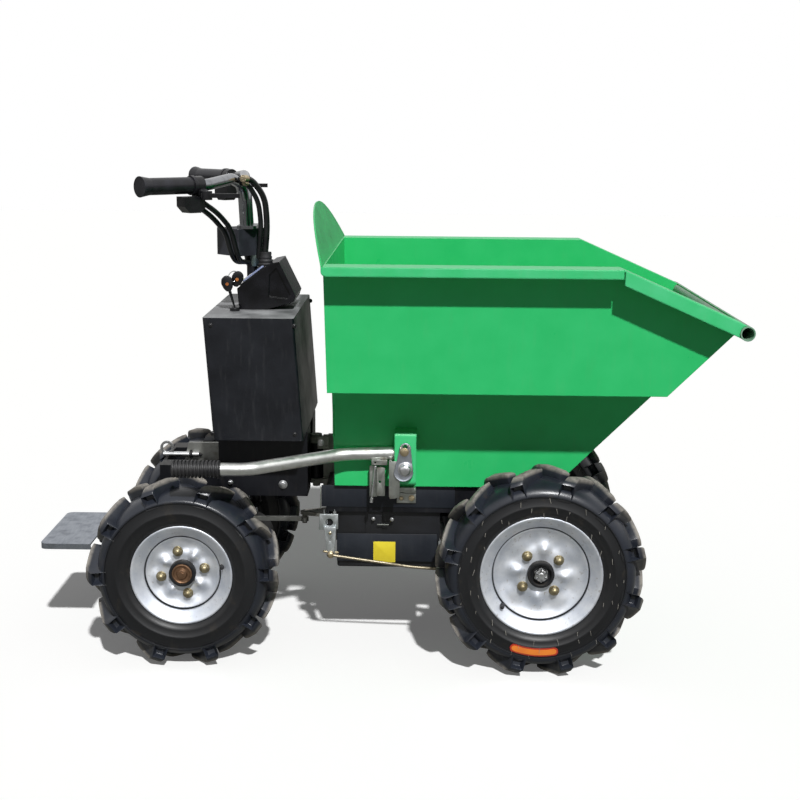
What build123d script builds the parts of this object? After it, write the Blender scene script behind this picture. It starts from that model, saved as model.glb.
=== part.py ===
from build123d import *
import os
from math import atan2, cos, degrees, pi, radians, sin, tan

# Centre-articulated electric mini dumper: a front chassis with a forward-tipping skip on the larger
# wheels, and a rear chassis with the battery cabinet, handlebar and fold-up step on the smaller ones.
# Millimetres. +X is forward, +Y is left, +Z is up, and the origin is on the ground under the middle.

# ---- Driving dimensions ----------------------------------------------------------------------------
front_tyre_r = 203.5
front_tyre_w = 108
front_track = 472
front_lugs = 12
front_facets = 28           # flat sides round the carcass
front_flange_r = 118
rear_tyre_r = 187.5
rear_tyre_w = 106
rear_track = 420
rear_lugs = 10
rear_facets = 26
rear_flange_r = 99.5
rim_w = 84
wheel_face_in = 16          # wheel's hub face inside the outer flange
wheel_bore_r = 16
disc_t = 5
hub_nose_r = 27
hub_nose = 15
hub_drum_r = 46
nut_circle_r = 42
nut_r = 9.8
nut_h = 11
axle_r = 12.5
front_nut_turn = 38         # first wheel nut above the level, degrees
rear_nut_turn = 9
front_cap_r = 13
rear_cap_r = 20
lug_height = 22
lug_w = 21
bead_gap = 0.3
running_gap = 0.05
touch_gap = 0.3

sheet = 3
skip_tail = 408             # rear wall behind the front axle, at the crease
skip_half = 300
tyre_gap = 22               # chassis webs to the front tyres' inner sides
keel_out = 10               # narrow lower trough's sides beyond the chassis webs
rim_out = 55                # flange beyond the skip's sides
rim_z = 799
crease_z = 561
floor_z = 350
rear_wall_lean = 1.7        # degrees, top to the rear
rim_reach = 122             # level part of the rim ends this far ahead of the front axle
hem_drop = 17
mouth_hem_drop = 27         # deeper hem of the sloping rim beside the mouth
mouth_hem_gap = 2           # open mitre between the two hems
hem_corner_r = 9
arch_height = 95
arch_lean = 20              # degrees, top to the rear
lip_reach = 345             # lip tube ahead of the front axle
lip_z = 688
lip_r = 13.5
lip_wall = 2.5
lip_stub = 3.5              # lip tube's open ends beyond the rims
chute_angle = 45

tip_pin_r = 8
tip_pin_drop = 24           # tip axis below the skip floor
tip_ear_r = 15
skip_ear_y = 104
skip_ear_t = 12
chassis_ear_t = 10
ear_gap = 2

deck_drop = 6               # chassis deck below the skip floor
deck_sheet = 4
web_sheet = 5
chassis_depth = 50
end_plate_t = 6
end_plate_z = 255
chassis_gap = 6             # skip's rear wall foot to the front of the end plate
buffer_r = 16
buffer_ahead = 45           # rubber buffers ahead of the skip's rear wall
buffer_in = 50              # and inside the trough's sides
battery_half = 150
battery_bottom_z = 175
battery_under = 10          # battery box front under the front tyres' rear edge
battery_tail_gap = 13       # battery box rear to the end plate
battery_lid = 2             # lid lip round the box's top
battery_seam_z = 232        # joint between the box's black upper shell and its lower tray

case_r = 60                 # drive gear case round the axle
case_half = 34
motor_r = 50
motor_len = 96
hanger_y = 90
hanger_t = 8
brake_lug_out = 6           # lug's outer face beyond the chassis web
brake_lug_t = 6
brake_lug_at = (-66, -32)   # rod end from the axle's centre
front_motor_at = (-108, 26)     # from the axle: behind it and a little higher
rear_motor_at = (100, 0)

hinge_reach = 31.3          # articulation pin behind the end plate
hinge_pin_r = 8
hinge_ear_r = 16
hinge_ear_t = 10
hinge_top_z = 408
hinge_bottom_z = 312
post_half = 35
post_t = 8

rear_axle_behind = 244      # rear axle behind the articulation pin
subframe_gap = 10           # rear section's front face behind the articulation pin
subframe_tail = 55          # rear section's rear face ahead of the rear axle
rail_h = 60
rail_w = 44
rail_tail = 60              # rear end of the two rails behind the rear axle
tail_sheet = 6
tow_tail_gap = 23           # hitch plate ahead of the rails' rear end
tow_pin_r = 5.5
subframe_half = 105
subframe_z = 309
subframe_notch = 14
subframe_notch_half = 30
cabinet_z = 443
cabinet_top_z = 683
cabinet_gap = 11            # cabinet's foot behind the articulation pin
cabinet_len = 175
cabinet_corner_r = 6
cabinet_half = 190
cabinet_lean = 17           # top of the cabinet set back from its foot
column_behind = 129         # behind the articulation pin
column_r = 11
arm_reach = 60
arm_sweep = 20
arm_z = 262
link_t = 8
link_w = 16
stud_r = 5

step_reach = 313            # rear edge of the step behind the rear axle
step_len = 104
step_half = 114
step_z = 205
step_sheet = 3
step_corner_r = 14
step_edge = 12              # depth of the turned-down edges
step_hinge_gap = 12         # barrel's axis ahead of the plate
step_pin_r = 4
step_barrel_r = 8
carrier_half = 60
carrier_t = 8

lever_r = 12.5
lever_y = 190
lever_out_y = 290
lever_z = 423
lever_pivot_behind = 263
lever_pivot_z = 397
lever_bolt_behind = 266
lever_grip_r = 17
lever_grip_len = 88
lever_grip_cap = 4
lever_bend_ahead = 66       # first bend ahead of the articulation pin
lever_spread_behind = 109   # second bend behind the articulation pin
lever_end_behind = 245      # free end behind the articulation pin
lever_fall = 12             # free end below the bolted end
lever_bend_r = 80
lever_lift = 12             # degrees from rest to released
lever_boss_r = 7
lever_plate_big = 19
lever_plate_small = 11
lever_plate_t = 7
hook_t = 4
hook_foot_z = 322
hook_w = 22
bracket_half_w = 21
bracket_stand = 42
bracket_sheet = 4
bracket_bend_r = 9
catch_ahead = 2             # latch catch's rear edge ahead of the lever's pivot
catch_w = 34
guide_behind = 54           # lever guide behind the lever's pivot
guide_w = 19

grip_r = 15.5
grip_flare_r = 19
grip_len = 112
bar_r = 11
bar_tip_behind = 159        # outer ends of the grips behind the column
bar_tip_y = 300
bar_tip_z = 934
bar_sweep = 100             # straight swept end, along and across
bar_leg_y = 24
bar_leg_behind = 10         # feet of the bar's two legs behind the column
head_plate_t = 6
perch_len = 16
perch_r = 17
throttle_drop = 50          # below the bar's centre line
throttle_len = 46
blade_len = 62
cable_r = 5
loom_r = 6
riser_above = 158           # top of the column above the cabinet
box_behind = 23             # junction box's centre behind the column
box_w = 71
box_h = 54
box_corner_r = 6
pod_ahead = 34
pod_half = 66
relay_ahead = 3             # brake relay ahead of the end plate
relay_z = 277
relay_arm = 66
rod_r = 3

# ---- Places worked out from them --------------------------------------------------------------------
rear_wall_foot = skip_tail - (crease_z - floor_z) * tan(radians(rear_wall_lean))
end_plate_behind = rear_wall_foot + chassis_gap + end_plate_t
hinge_behind = end_plate_behind + end_plate_t + hinge_reach
wheelbase = hinge_behind + rear_axle_behind
front_x = (wheelbase + step_reach - lip_reach - lip_r) / 2
rear_x = front_x - wheelbase
end_plate_x = front_x - end_plate_behind
hinge_x = front_x - hinge_behind
column_x = hinge_x - column_behind
lip_x = front_x + lip_reach
front_wheel_y = front_track / 2
rear_wheel_y = rear_track / 2
chassis_half = front_wheel_y - front_tyre_w / 2 - tyre_gap
keel_half = chassis_half + keel_out
rim_half = skip_half + rim_out
lip_half = rim_half + lip_stub
deck_z = floor_z - deck_drop
chassis_bottom_z = deck_z - chassis_depth
tip_z = floor_z - tip_pin_drop
cabinet_front_x = hinge_x - cabinet_gap
riser_z = cabinet_top_z + riser_above
pod_x = column_x + pod_ahead
battery_x = (end_plate_x + battery_tail_gap, front_x - front_tyre_r + battery_under)
lever_pivot_x = front_x - lever_pivot_behind
lever_face_y = -keel_half - bracket_stand
hook_x = lever_pivot_x - 4
SIDES = (-1, 1)
ON_BASE = (Align.CENTER, Align.CENTER, Align.MIN)


def rear_wall_x(z):
    """Outer face of the leaning rear wall at height z."""
    return front_x - skip_tail - (z - crease_z) * tan(radians(rear_wall_lean))


def chute_x(z, outward=0):
    """Front wall at height z: a plane through the lip tube's axis, moved outward square to itself."""
    slope = radians(chute_angle)
    return lip_x - (lip_z - z) / tan(slope) + outward / sin(slope)


tip_x = chute_x(tip_z, lip_r + tip_pin_drop)


def block(x, y, z):
    """Rectangular block given by its low and high limit on each axis."""
    spans = (x, y, z)
    middle = [(low + high) / 2 for low, high in spans]
    return Pos(*middle) * Box(*[high - low for low, high in spans])


def plate(outline, y):
    """Flat side-view outline of (x, z) corners, as thick as the span y."""
    side = Plane(origin=(0, y[1], 0), x_dir=(1, 0, 0), z_dir=(0, -1, 0))
    return extrude(side * make_face(Polyline(*outline, close=True)), amount=y[1] - y[0])


def slab(outline, z):
    """Flat top-view outline of (x, y) corners, as thick as the span z."""
    return extrude(Plane.XY.offset(z[0]) * make_face(Polyline(*outline, close=True)), amount=z[1] - z[0])


def rod(start, end, radius):
    """Round bar between two points."""
    run = Vector(*end) - Vector(*start)
    return Plane(origin=start, z_dir=run) * Cylinder(radius, run.length, align=ON_BASE)


def cross_rod(x, z, radius, y):
    """Round bar square to the machine's side, over the span y."""
    return rod((x, y[0], z), (x, y[1], z), radius)


def upright(x, y, radius, z):
    """Round bar standing up, over the span z."""
    return rod((x, y, z[0]), (x, y, z[1]), radius)


def bent_rod(points, radii, radius):
    """Round bar along straight runs joined by tangent arcs."""
    path = FilletPolyline(*points, radius=radii)
    start = Plane(origin=path @ 0, z_dir=path % 0)
    return sweep(start * Circle(radius), path=path)


def soft_radii(points):
    """Arc radius at each inner point of a cable's route, as large as its two runs allow."""
    radii = []
    for before, here, after in zip(points, points[1:], points[2:]):
        arrive, leave = Vector(*here) - Vector(*before), Vector(*after) - Vector(*here)
        half_turn = radians(arrive.get_angle(leave)) / 2
        radii.append(0.45 * min(arrive.length, leave.length) / tan(half_turn))
    return radii


def both(piece):
    """The piece and its mirror image on the other side of the machine."""
    return piece + mirror(piece, about=Plane.XZ)


def save(name, piece):
    """Write one node; separate solids stay separate."""
    export_step(piece, f"parts/{name}.step")


# ---- Skip -------------------------------------------------------------------------------------------
def skip_outline(inset):
    """Side view of the wide upper tray, moved inward by inset on the wall, shelf and chute."""
    shelf_z = crease_z + inset
    brow_z = lip_z + lip_r
    top = [(front_x + rim_reach, rim_z), (lip_x, brow_z)]
    if inset:
        top = [(lip_x - inset, rim_z + arch_height)]
    return [
        (rear_wall_x(shelf_z) + inset, shelf_z),
        (rear_wall_x(rim_z + inset) + inset, top[0][1]),
        *top,
        (chute_x(lip_z, -inset), lip_z),
        (chute_x(shelf_z, -inset), shelf_z),
    ]


def trough_outline(inset, top_z):
    """Side view of the narrow trough that runs under the tray and up behind the chute."""
    foot_z = floor_z + inset
    tangent = lip_r - inset
    slope = radians(chute_angle)
    return [
        (rear_wall_x(foot_z) + inset, foot_z),
        (chute_x(foot_z, tangent), foot_z),
        (lip_x + tangent * sin(slope), lip_z - tangent * cos(slope)),
        (chute_x(lip_z, -inset), lip_z),
        (chute_x(top_z, -inset), top_z),
        (rear_wall_x(top_z) + inset, top_z),
    ]


lip_bar = cross_rod(lip_x, lip_z, lip_r, (-lip_half, lip_half))
trough_space = plate(trough_outline(sheet, crease_z + 2 * sheet), (sheet - keel_half, keel_half - sheet))


def make_skip_tray():
    """Wide upper tray: sides, shelves, chute cheeks and rear wall, with the arched back above the rim."""
    tray = plate(skip_outline(0), (-skip_half, skip_half)) - trough_space - lip_bar
    tray -= plate(skip_outline(sheet), (sheet - skip_half, skip_half - sheet))
    lean = Plane(
        origin=(rear_wall_x(rim_z), 0, rim_z),
        x_dir=(0, 1, 0),
        z_dir=(cos(radians(arch_lean)), 0, sin(radians(arch_lean))),
    )
    crown = arch_height / cos(radians(arch_lean))
    arch = make_face(
        ThreePointArc((-rim_half, 0), (0, crown), (rim_half, 0)) + Line((rim_half, 0), (-rim_half, 0))
    )
    foot = Pos(0, -sheet / 2) * Rectangle(2 * skip_half, sheet)
    return tray + extrude(lean * (arch + foot), amount=sheet)


def make_skip_trough():
    """Narrow lower trough between the tyres, whose front sheet runs up to the lip tube."""
    return plate(trough_outline(0, crease_z), (-keel_half, keel_half)) - trough_space - lip_bar


def make_skip_rims():
    """Outward flanges along both top edges with turned-down hems, deeper down the slope to the mouth."""
    tail, knee, brow = rear_wall_x(rim_z), front_x + rim_reach, lip_z + lip_r
    line = [(tail, rim_z), (knee, rim_z), (lip_x, brow)]
    flange = plate(line + [(x, z - sheet) for x, z in reversed(line)], (skip_half, rim_half))
    hem_y = (rim_half - sheet, rim_half)
    hem = block((tail, knee), hem_y, (rim_z - hem_drop, rim_z))
    lower_rear = hem.edges().filter_by(Axis.Y).group_by(Axis.Z)[0].sort_by(Axis.X)[0]
    hem = fillet(lower_rear, hem_corner_r)
    mitre_x = knee + mouth_hem_gap
    mitre_z = rim_z - mouth_hem_gap * (rim_z - brow) / (lip_x - knee)
    slope = [
        (mitre_x, mitre_z),
        (lip_x, brow),
        (lip_x, brow - mouth_hem_drop),
        (mitre_x, mitre_z - mouth_hem_drop),
    ]
    return both(flange + hem + plate(slope, hem_y) - lip_bar)


def make_lip_tube():
    """Round tube across the mouth of the chute, open at both ends."""
    span = (-lip_half, lip_half)
    return cross_rod(lip_x, lip_z, lip_r, span) - cross_rod(lip_x, lip_z, lip_r - lip_wall, span)


def make_skip_ears():
    """Two hinge ears welded into the corner of trough floor and chute, bored for the tip pins."""
    outline = [
        (tip_x - tip_ear_r + 3, floor_z),
        (chute_x(floor_z, lip_r), floor_z),
        (chute_x(floor_z + 34, lip_r), floor_z + 34),
        (tip_x + tip_ear_r, tip_z),
        (tip_x, tip_z - tip_ear_r),
        (tip_x - tip_ear_r, tip_z),
    ]
    span = (skip_ear_y, skip_ear_y + skip_ear_t)
    ear = plate(outline, span) + cross_rod(tip_x, tip_z, tip_ear_r, span)
    return both(ear - cross_rod(tip_x, tip_z, tip_pin_r + running_gap, span))


def make_lever_bracket():
    """Strap folded out from the trough's right side, which carries the tip lever's pivot."""
    x_span = (lever_pivot_x - bracket_half_w, lever_pivot_x + bracket_half_w)
    z_span = (floor_z + 12, lever_z + 45)
    inner_z = (z_span[0] + bracket_sheet, z_span[1] - bracket_sheet)
    outer = block(x_span, (lever_face_y, -keel_half), z_span)
    outer = fillet(outer.edges().filter_by(Axis.X).group_by(Axis.Y)[0], bracket_bend_r)
    inner = block(x_span, (lever_face_y + bracket_sheet, -keel_half), inner_z)
    inner = fillet(inner.edges().filter_by(Axis.X).group_by(Axis.Y)[0], bracket_bend_r - bracket_sheet)
    wall = (lever_face_y - 1, lever_face_y + bracket_sheet + 1)
    strap = outer - inner
    hook_notch_z = (z_span[0], inner_z[0] + bracket_bend_r)
    strap -= block((x_span[0], hook_x + 5), (lever_face_y + bracket_sheet, -keel_half), hook_notch_z)
    for angle in (-3, lever_lift / 2, lever_lift + 3):
        strap -= lever_bolt(angle, 6.5, wall)
    return strap + cross_rod(lever_pivot_x, lever_pivot_z, lever_boss_r, (lever_face_y - 18, wall[1] - 1))


# ---- Tip lever --------------------------------------------------------------------------------------
lever_end_x = hinge_x - lever_end_behind
lever_end_z = lever_z - lever_fall
lever_bolt_x = front_x - lever_bolt_behind


def make_lever_tube():
    """Bent tube from behind the bracket out past the rear section's swing."""
    bend_x, spread_x = hinge_x + lever_bend_ahead, hinge_x - lever_spread_behind
    slope = (lever_z - lever_end_z) / (lever_bolt_x - spread_x)
    route = [
        (lever_bolt_x + lever_r, -lever_y, lever_z),
        (bend_x, -lever_y, lever_z - slope * (lever_bolt_x - bend_x)),
        (spread_x, -lever_out_y, lever_end_z),
        (lever_end_x, -lever_out_y, lever_end_z),
    ]
    return bent_rod(route, [lever_bend_r, lever_bend_r], lever_r)


def make_lever_grip():
    """Grip on the lever's end."""
    cap, mouth = lever_end_x - lever_grip_cap, lever_end_x + lever_grip_len
    outer = rod((cap, -lever_out_y, lever_end_z), (mouth, -lever_out_y, lever_end_z), lever_grip_r)
    return outer - rod((lever_end_x, -lever_out_y, lever_end_z), (mouth, -lever_out_y, lever_end_z), lever_r)


def lever_bolt(angle, radius, y):
    """Round bar at the lever bolt's place after the lever is lifted by angle."""
    swing = radians(angle)
    reach_x, reach_z = lever_pivot_behind - lever_bolt_behind, lever_z - lever_pivot_z
    x = lever_pivot_x + reach_x * cos(swing) + reach_z * sin(swing)
    return cross_rod(x, lever_pivot_z - reach_x * sin(swing) + reach_z * cos(swing), radius, y)


def make_lever_plate():
    """Pear-shaped plate on the pivot boss, bolted through the bracket's slot to the lever tube,
    and the latch hook on the tube's outer side, with its foot turned in beside the catch."""
    y = (lever_face_y - 1 - lever_plate_t, lever_face_y - 1)
    big, small = lever_plate_big, lever_plate_small
    pear = cross_rod(lever_pivot_x, lever_pivot_z, big, y) + cross_rod(lever_bolt_x, lever_z, small, y)
    pear += plate(
        [
            (lever_pivot_x - big, lever_pivot_z),
            (lever_pivot_x + big, lever_pivot_z),
            (lever_bolt_x + small, lever_z),
            (lever_bolt_x - small, lever_z),
        ],
        y,
    )
    pear -= cross_rod(lever_pivot_x, lever_pivot_z, lever_boss_r + running_gap, (y[0] - 30, y[1]))
    pear += lever_bolt(0, 5, (y[0] - 5, -lever_y - lever_r - touch_gap))
    tail_x = hook_x - hook_w
    hook_y = (-lever_y - lever_r - hook_t, -lever_y - lever_r)
    hook = plate([(tail_x, hook_foot_z), (hook_x, hook_foot_z), (hook_x, lever_z), (tail_x, lever_z)], hook_y)
    foot = block((tail_x, hook_x), (hook_y[0], hook_y[1] + 14), (hook_foot_z, hook_foot_z + hook_t))
    return pear + hook + foot


# ---- Wheels -----------------------------------------------------------------------------------------
def ring(section, facets):
    """Solid of flat-sided polygons about the Y axis, through (half width, corner radius) stations."""
    faces = [Plane.XZ.offset(-y) * Rot(0, 0, 90) * RegularPolygon(r, facets) for y, r in section]
    return loft(faces, ruled=True)


def make_tyre(tyre_r, tyre_w, flange_r, lugs, facets):
    """Tyre about the Y axis: flat-sided carcass and staggered chevron lugs, point forward on top."""
    half_w, half_rim = tyre_w / 2 - 1, rim_w / 2 - bead_gap
    crown_r = tyre_r - lug_height
    waist_r = (crown_r + flange_r) / 2
    cheek = [(-half_w, waist_r), (-half_w * 0.72, crown_r)]
    half = [(-half_rim, flange_r + 1), *cheek]
    carcass = ring(half + [(-y, r) for y, r in reversed(half)], facets)
    shoulder = [(tyre_w / 2, waist_r - 6), (tyre_w / 2, tyre_r - lug_height * 0.7), (tyre_w * 0.41, tyre_r)]
    envelope = ring([(0, tyre_r), *reversed(shoulder)], facets)
    sweep_x = tyre_w * 0.42
    root_r = waist_r - 4
    bar = [
        (-sweep_x / 2 - lug_w * 1.3, tyre_w / 2 + 2),
        (-sweep_x / 2, tyre_w / 2 + 2),
        (sweep_x, 3),
        (sweep_x - lug_w, 3),
    ]
    lug = slab(bar, (root_r, tyre_r + 4)) & envelope
    pitch = 360 / lugs
    left = [Rot(0, i * pitch, 0) * lug for i in range(lugs)]
    right = [Rot(0, (i + 0.5) * pitch, 0) * mirror(lug, about=Plane.XZ) for i in range(lugs)]
    bore_r = (flange_r + bead_gap) / cos(pi / facets)
    return carcass.fuse(*left, *right) - ring([(-half_w, bore_r), (half_w, bore_r)], facets)


def make_rim(flange_r):
    """Pressed wheel about the Y axis, outer side towards +Y: rolled flange, sloping outer ring,
    a step down to the disc, and the disc's dish round its raised hub face."""
    half_rim = rim_w / 2
    step_r, dish_r, face_r = flange_r * 0.79, flange_r * 0.64, flange_r * 0.5
    face = half_rim - wheel_face_in
    section = [
        (half_rim, flange_r),
        (half_rim, flange_r - 4),
        (half_rim - 10, step_r + 2),
        (half_rim - 14, step_r),
        (half_rim - 19, dish_r),
        (face, face_r),
        (face, wheel_bore_r),
        (face - disc_t, wheel_bore_r),
        (face - disc_t, face_r),
        (half_rim - 24, dish_r),
        (half_rim - 19, step_r + 3),
        (half_rim - 14, flange_r - disc_t),
        (12 - half_rim, flange_r - disc_t),
        (-half_rim, flange_r - 9),
        (-half_rim, flange_r),
    ]
    return revolve(Plane.YZ * make_face(Polyline(*section, close=True)), Axis.Y)


def make_hub(nut_turn, cap_r):
    """Hub about the Y axis: drum behind the wheel face, nose and cap through it, and four wheel nuts."""
    face = rim_w / 2 - wheel_face_in
    nose = (face, face + hub_nose)
    hub = cross_rod(0, 0, hub_nose_r, nose) + cross_rod(0, 0, hub_drum_r, (face - disc_t - 14, face - disc_t))
    hub += cross_rod(0, 0, wheel_bore_r - 0.5, (face - disc_t, face))
    hub += cross_rod(0, 0, cap_r, (nose[1], nose[1] + 5))
    seat = Plane(origin=(nut_circle_r, face + nut_h, 0), x_dir=(1, 0, 0), z_dir=(0, -1, 0))
    nut = extrude(seat * RegularPolygon(nut_r, 6), amount=nut_h)
    hub += [Rot(0, -nut_turn - 90 * i, 0) * nut for i in range(4)]
    return hub - cross_rod(0, 0, axle_r + running_gap, (face - 30, face + 6))


def place_wheel(piece, x, half_track, radius, side):
    """Set a wheel piece on its axle, outer side away from the machine."""
    piece = piece if side > 0 else mirror(piece, about=Plane.XZ)
    return Pos(x, side * half_track, radius) * piece


# ---- Front chassis ----------------------------------------------------------------------------------
deck_front_x = tip_x - tip_ear_r - 10


def make_front_chassis():
    """Folded deck pan with side webs, rear end plate, buffers and the ears for the tip pins."""
    x = (end_plate_x, deck_front_x)
    deck = block(x, (-chassis_half, chassis_half), (deck_z - deck_sheet, deck_z))
    webs = block(x, (chassis_half - web_sheet, chassis_half), (chassis_bottom_z, deck_z))
    end_plate = block(
        (end_plate_x - end_plate_t, end_plate_x), (-chassis_half, chassis_half), (end_plate_z, deck_z)
    )
    ear_y = skip_ear_y + skip_ear_t + ear_gap
    span = (ear_y, ear_y + chassis_ear_t)
    ear_foot_x = deck_front_x - 70
    ear = plate(
        [
            (ear_foot_x, deck_z),
            (deck_front_x, deck_z),
            (tip_x, tip_z + tip_ear_r),
            (tip_x + tip_ear_r, tip_z),
            (tip_x, tip_z - tip_ear_r),
            (deck_front_x, chassis_bottom_z),
            (ear_foot_x, chassis_bottom_z),
        ],
        span,
    )
    ear += cross_rod(tip_x, tip_z, tip_ear_r, span)
    ear += cross_rod(tip_x, tip_z, tip_pin_r, (skip_ear_y - 6, span[1] + 6))
    nose_x = (deck_front_x - web_sheet, deck_front_x)
    nose = block(nose_x, (-chassis_half, chassis_half), (chassis_bottom_z, deck_z))
    buffer_x, buffer_y = rear_wall_x(floor_z) + buffer_ahead, keel_half - buffer_in
    buffer = upright(buffer_x, buffer_y, buffer_r, (deck_z, floor_z - touch_gap))
    rib_x = (battery_x[1] + 10, battery_x[1] + 10 + web_sheet)
    rib_z = (chassis_bottom_z, deck_z - deck_sheet)
    cross = block(rib_x, (web_sheet - chassis_half, chassis_half - web_sheet), rib_z)
    return deck + both(webs) + end_plate + nose + cross + both(ear) + both(buffer)


def make_battery_box():
    """Drive battery box hung under the deck: lid flange, upper shell and a slightly narrower tray."""
    inner = chassis_half - web_sheet - 1
    lid = block(battery_x, (-inner, inner), (chassis_bottom_z, deck_z - deck_sheet))
    shell = block(battery_x, (-battery_half, battery_half), (battery_seam_z, chassis_bottom_z))
    tray_x = (battery_x[0] + battery_lid, battery_x[1] - battery_lid)
    tray_half = battery_half - battery_lid
    tray = block(tray_x, (-tray_half, tray_half), (battery_bottom_z, battery_seam_z))
    tray = fillet(tray.edges().filter_by(Axis.Z) + tray.edges().group_by(Axis.Z)[0], 5)
    strap_x = (battery_x[0] + 60, battery_x[0] + 92)
    strap_half = battery_half + 3
    strap = block(strap_x, (-strap_half, strap_half), (battery_seam_z, chassis_bottom_z))
    return shell + tray + lid + strap


def make_hinge_yoke():
    """Upright post on the end plate with the two ears of the articulation pin, and the steering arm."""
    face = end_plate_x - end_plate_t
    yoke = block((face - post_t, face), (-post_half, post_half), (end_plate_z, hinge_top_z))
    for low in (hinge_bottom_z, hinge_top_z - hinge_ear_t):
        z = (low, low + hinge_ear_t)
        yoke += block((hinge_x, face - post_t), (-hinge_ear_r, hinge_ear_r), z)
        yoke += upright(hinge_x, 0, hinge_ear_r, z)
    pin = upright(hinge_x, 0, hinge_pin_r, (hinge_bottom_z - 8, hinge_top_z + 6))
    head = upright(hinge_x, 0, hinge_pin_r + 4, (hinge_top_z, hinge_top_z + 7))
    arm_end = (hinge_x - arm_sweep, -arm_reach)
    arm = slab(
        [
            (face, -arm_reach - 22),
            (arm_end[0], -arm_reach - link_w / 2 - 1),
            (arm_end[0] - link_w / 2 - 1, -arm_reach),
            (arm_end[0], -arm_reach + link_w / 2 + 1),
            (face, -post_half + 5),
        ],
        (arm_z - link_t / 2, arm_z + link_t / 2),
    )
    stud = upright(*arm_end, stud_r, (arm_z - link_t - 14, arm_z))
    return yoke + pin + head + arm + stud


def make_axle(half_track, reach_up, tube_r, motor_at):
    """Drive axle about the origin: spindles, tubes, gear case stretched to the motor, two hangers."""
    face = half_track + rim_w / 2 - wheel_face_in
    drum = face - disc_t - 15
    axle = cross_rod(0, 0, axle_r, (-face - 5, face + 5)) + cross_rod(0, 0, tube_r, (-drum, drum))
    case = (-case_half, case_half)
    axle += cross_rod(0, 0, case_r, case) + cross_rod(*motor_at, motor_r, case)
    run = Vector(*motor_at)
    slope = degrees(atan2(motor_at[1], motor_at[0]))
    spread = degrees(atan2(case_r - motor_r, run.length))
    corners = []
    for radius, (x, z) in ((case_r, (0, 0)), (motor_r, motor_at)):
        for turn in (90 - spread, spread - 90):
            angle = radians(slope + turn)
            corners.append((x + radius * cos(angle), z + radius * sin(angle)))
    axle += plate([corners[0], corners[2], corners[3], corners[1]], case)
    hanger = block((-45, 5), (hanger_y, hanger_y + hanger_t), (-tube_r, reach_up))
    return axle + both(hanger)


def make_brake_lug():
    """Lug on the axle tube that takes the brake rod, about the axle."""
    x, z = brake_lug_at
    outline = [(x - 8, z - 8), (x + 8, z - 10), (4, -20), (4, 12), (-24, 12)]
    y = -chassis_half - brake_lug_out
    return plate(outline, (y, y + brake_lug_t))


def make_motor(motor_at):
    """Drive motor on the right face of the gear case, ribbed, with its end cap."""
    x, z = motor_at
    tail = -case_half - motor_len
    motor = cross_rod(x, z, motor_r - 2, (tail, -case_half))
    motor += cross_rod(x, z, motor_r * 0.7, (tail - 12, tail))
    for near in (0, motor_len - 12):
        motor += cross_rod(x, z, motor_r, (tail + near, tail + near + 12))
    return motor


def make_latch_catch():
    """Folded catch bolted to the right chassis web, and the channel behind it that steadies the lever,
    with its bright spring rod."""
    face = -chassis_half
    tail = lever_pivot_x + catch_ahead
    catch = block((tail, tail + catch_w), (face - 5, face), (deck_z - 38, deck_z - 4))
    lip = block((tail, tail + catch_w), (face - 26, face), (deck_z - 9, deck_z - 4))
    for dx, dz in ((8, -26), (26, -26)):
        catch += cross_rod(tail + dx, deck_z + dz, 5, (face - 10, face - 5))
    x = (lever_pivot_x - guide_behind, lever_pivot_x - guide_behind + guide_w)
    z = (deck_z - 5, lever_z - lever_r - 14)
    web_y = -keel_half - 24
    guide = block(x, (web_y, web_y + 3), z) + block((x[0], x[0] + 3), (web_y, -keel_half - 3), z)
    guide += block(x, (web_y, face), (z[0], z[0] + 3))
    spring_y = web_y - 5 - touch_gap
    spring = upright(x[0] + 1, spring_y, 3.5, (z[0] - 6, z[1] - 2))
    hanger = cross_rod(x[0] + 1, z[0] + 4, 2, (spring_y, web_y + 1))
    return catch + lip + guide + spring + hanger


relay_x = end_plate_x + relay_ahead


def make_brake_relay():
    """Brake relay on the end plate's right edge: bracket, boss and hanging lever."""
    x, z = relay_x, relay_z
    face = -chassis_half
    relay = block((x - 14, x + 22), (face - 10, face - 4), (z - 10, z + 18))
    relay += block((x - 3, x + 12), (face - 4, face), (z - 2, z + 16))
    relay += cross_rod(x, z, 9, (face - 14, face - 10))
    foot = z - relay_arm
    lever = plate([(x - 9, z), (x + 9, z), (x + 6, foot), (x - 6, foot)], (face - 19, face - 14))
    return relay + lever + cross_rod(x, foot, 6, (face - 23, face - 14))


def make_brake_rod():
    """Thin rod from the relay lever forward to the front axle's lug, bent once to follow the tyre."""
    face = -chassis_half
    foot_z = relay_z - relay_arm
    bend_x = battery_x[1] - 57
    return bent_rod(
        [
            (relay_x + 6, face - 23 - rod_r - touch_gap, foot_z),
            (bend_x, face - 16, foot_z - 25),
            (
                front_x + brake_lug_at[0],
                face - brake_lug_out - rod_r - touch_gap,
                front_tyre_r + brake_lug_at[1],
            ),
        ],
        [200],
        rod_r,
    )


# ---- Rear section -----------------------------------------------------------------------------------
subframe_front_x = hinge_x - subframe_gap
subframe_rear_x = rear_x + subframe_tail
rail_rear_x = rear_x - rail_tail
rail_z = (subframe_z, subframe_z + rail_h)
step_front_x = rear_x - step_reach + step_len
step_hinge_x = step_front_x + step_hinge_gap
step_hinge_z = step_z - step_barrel_r


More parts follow.
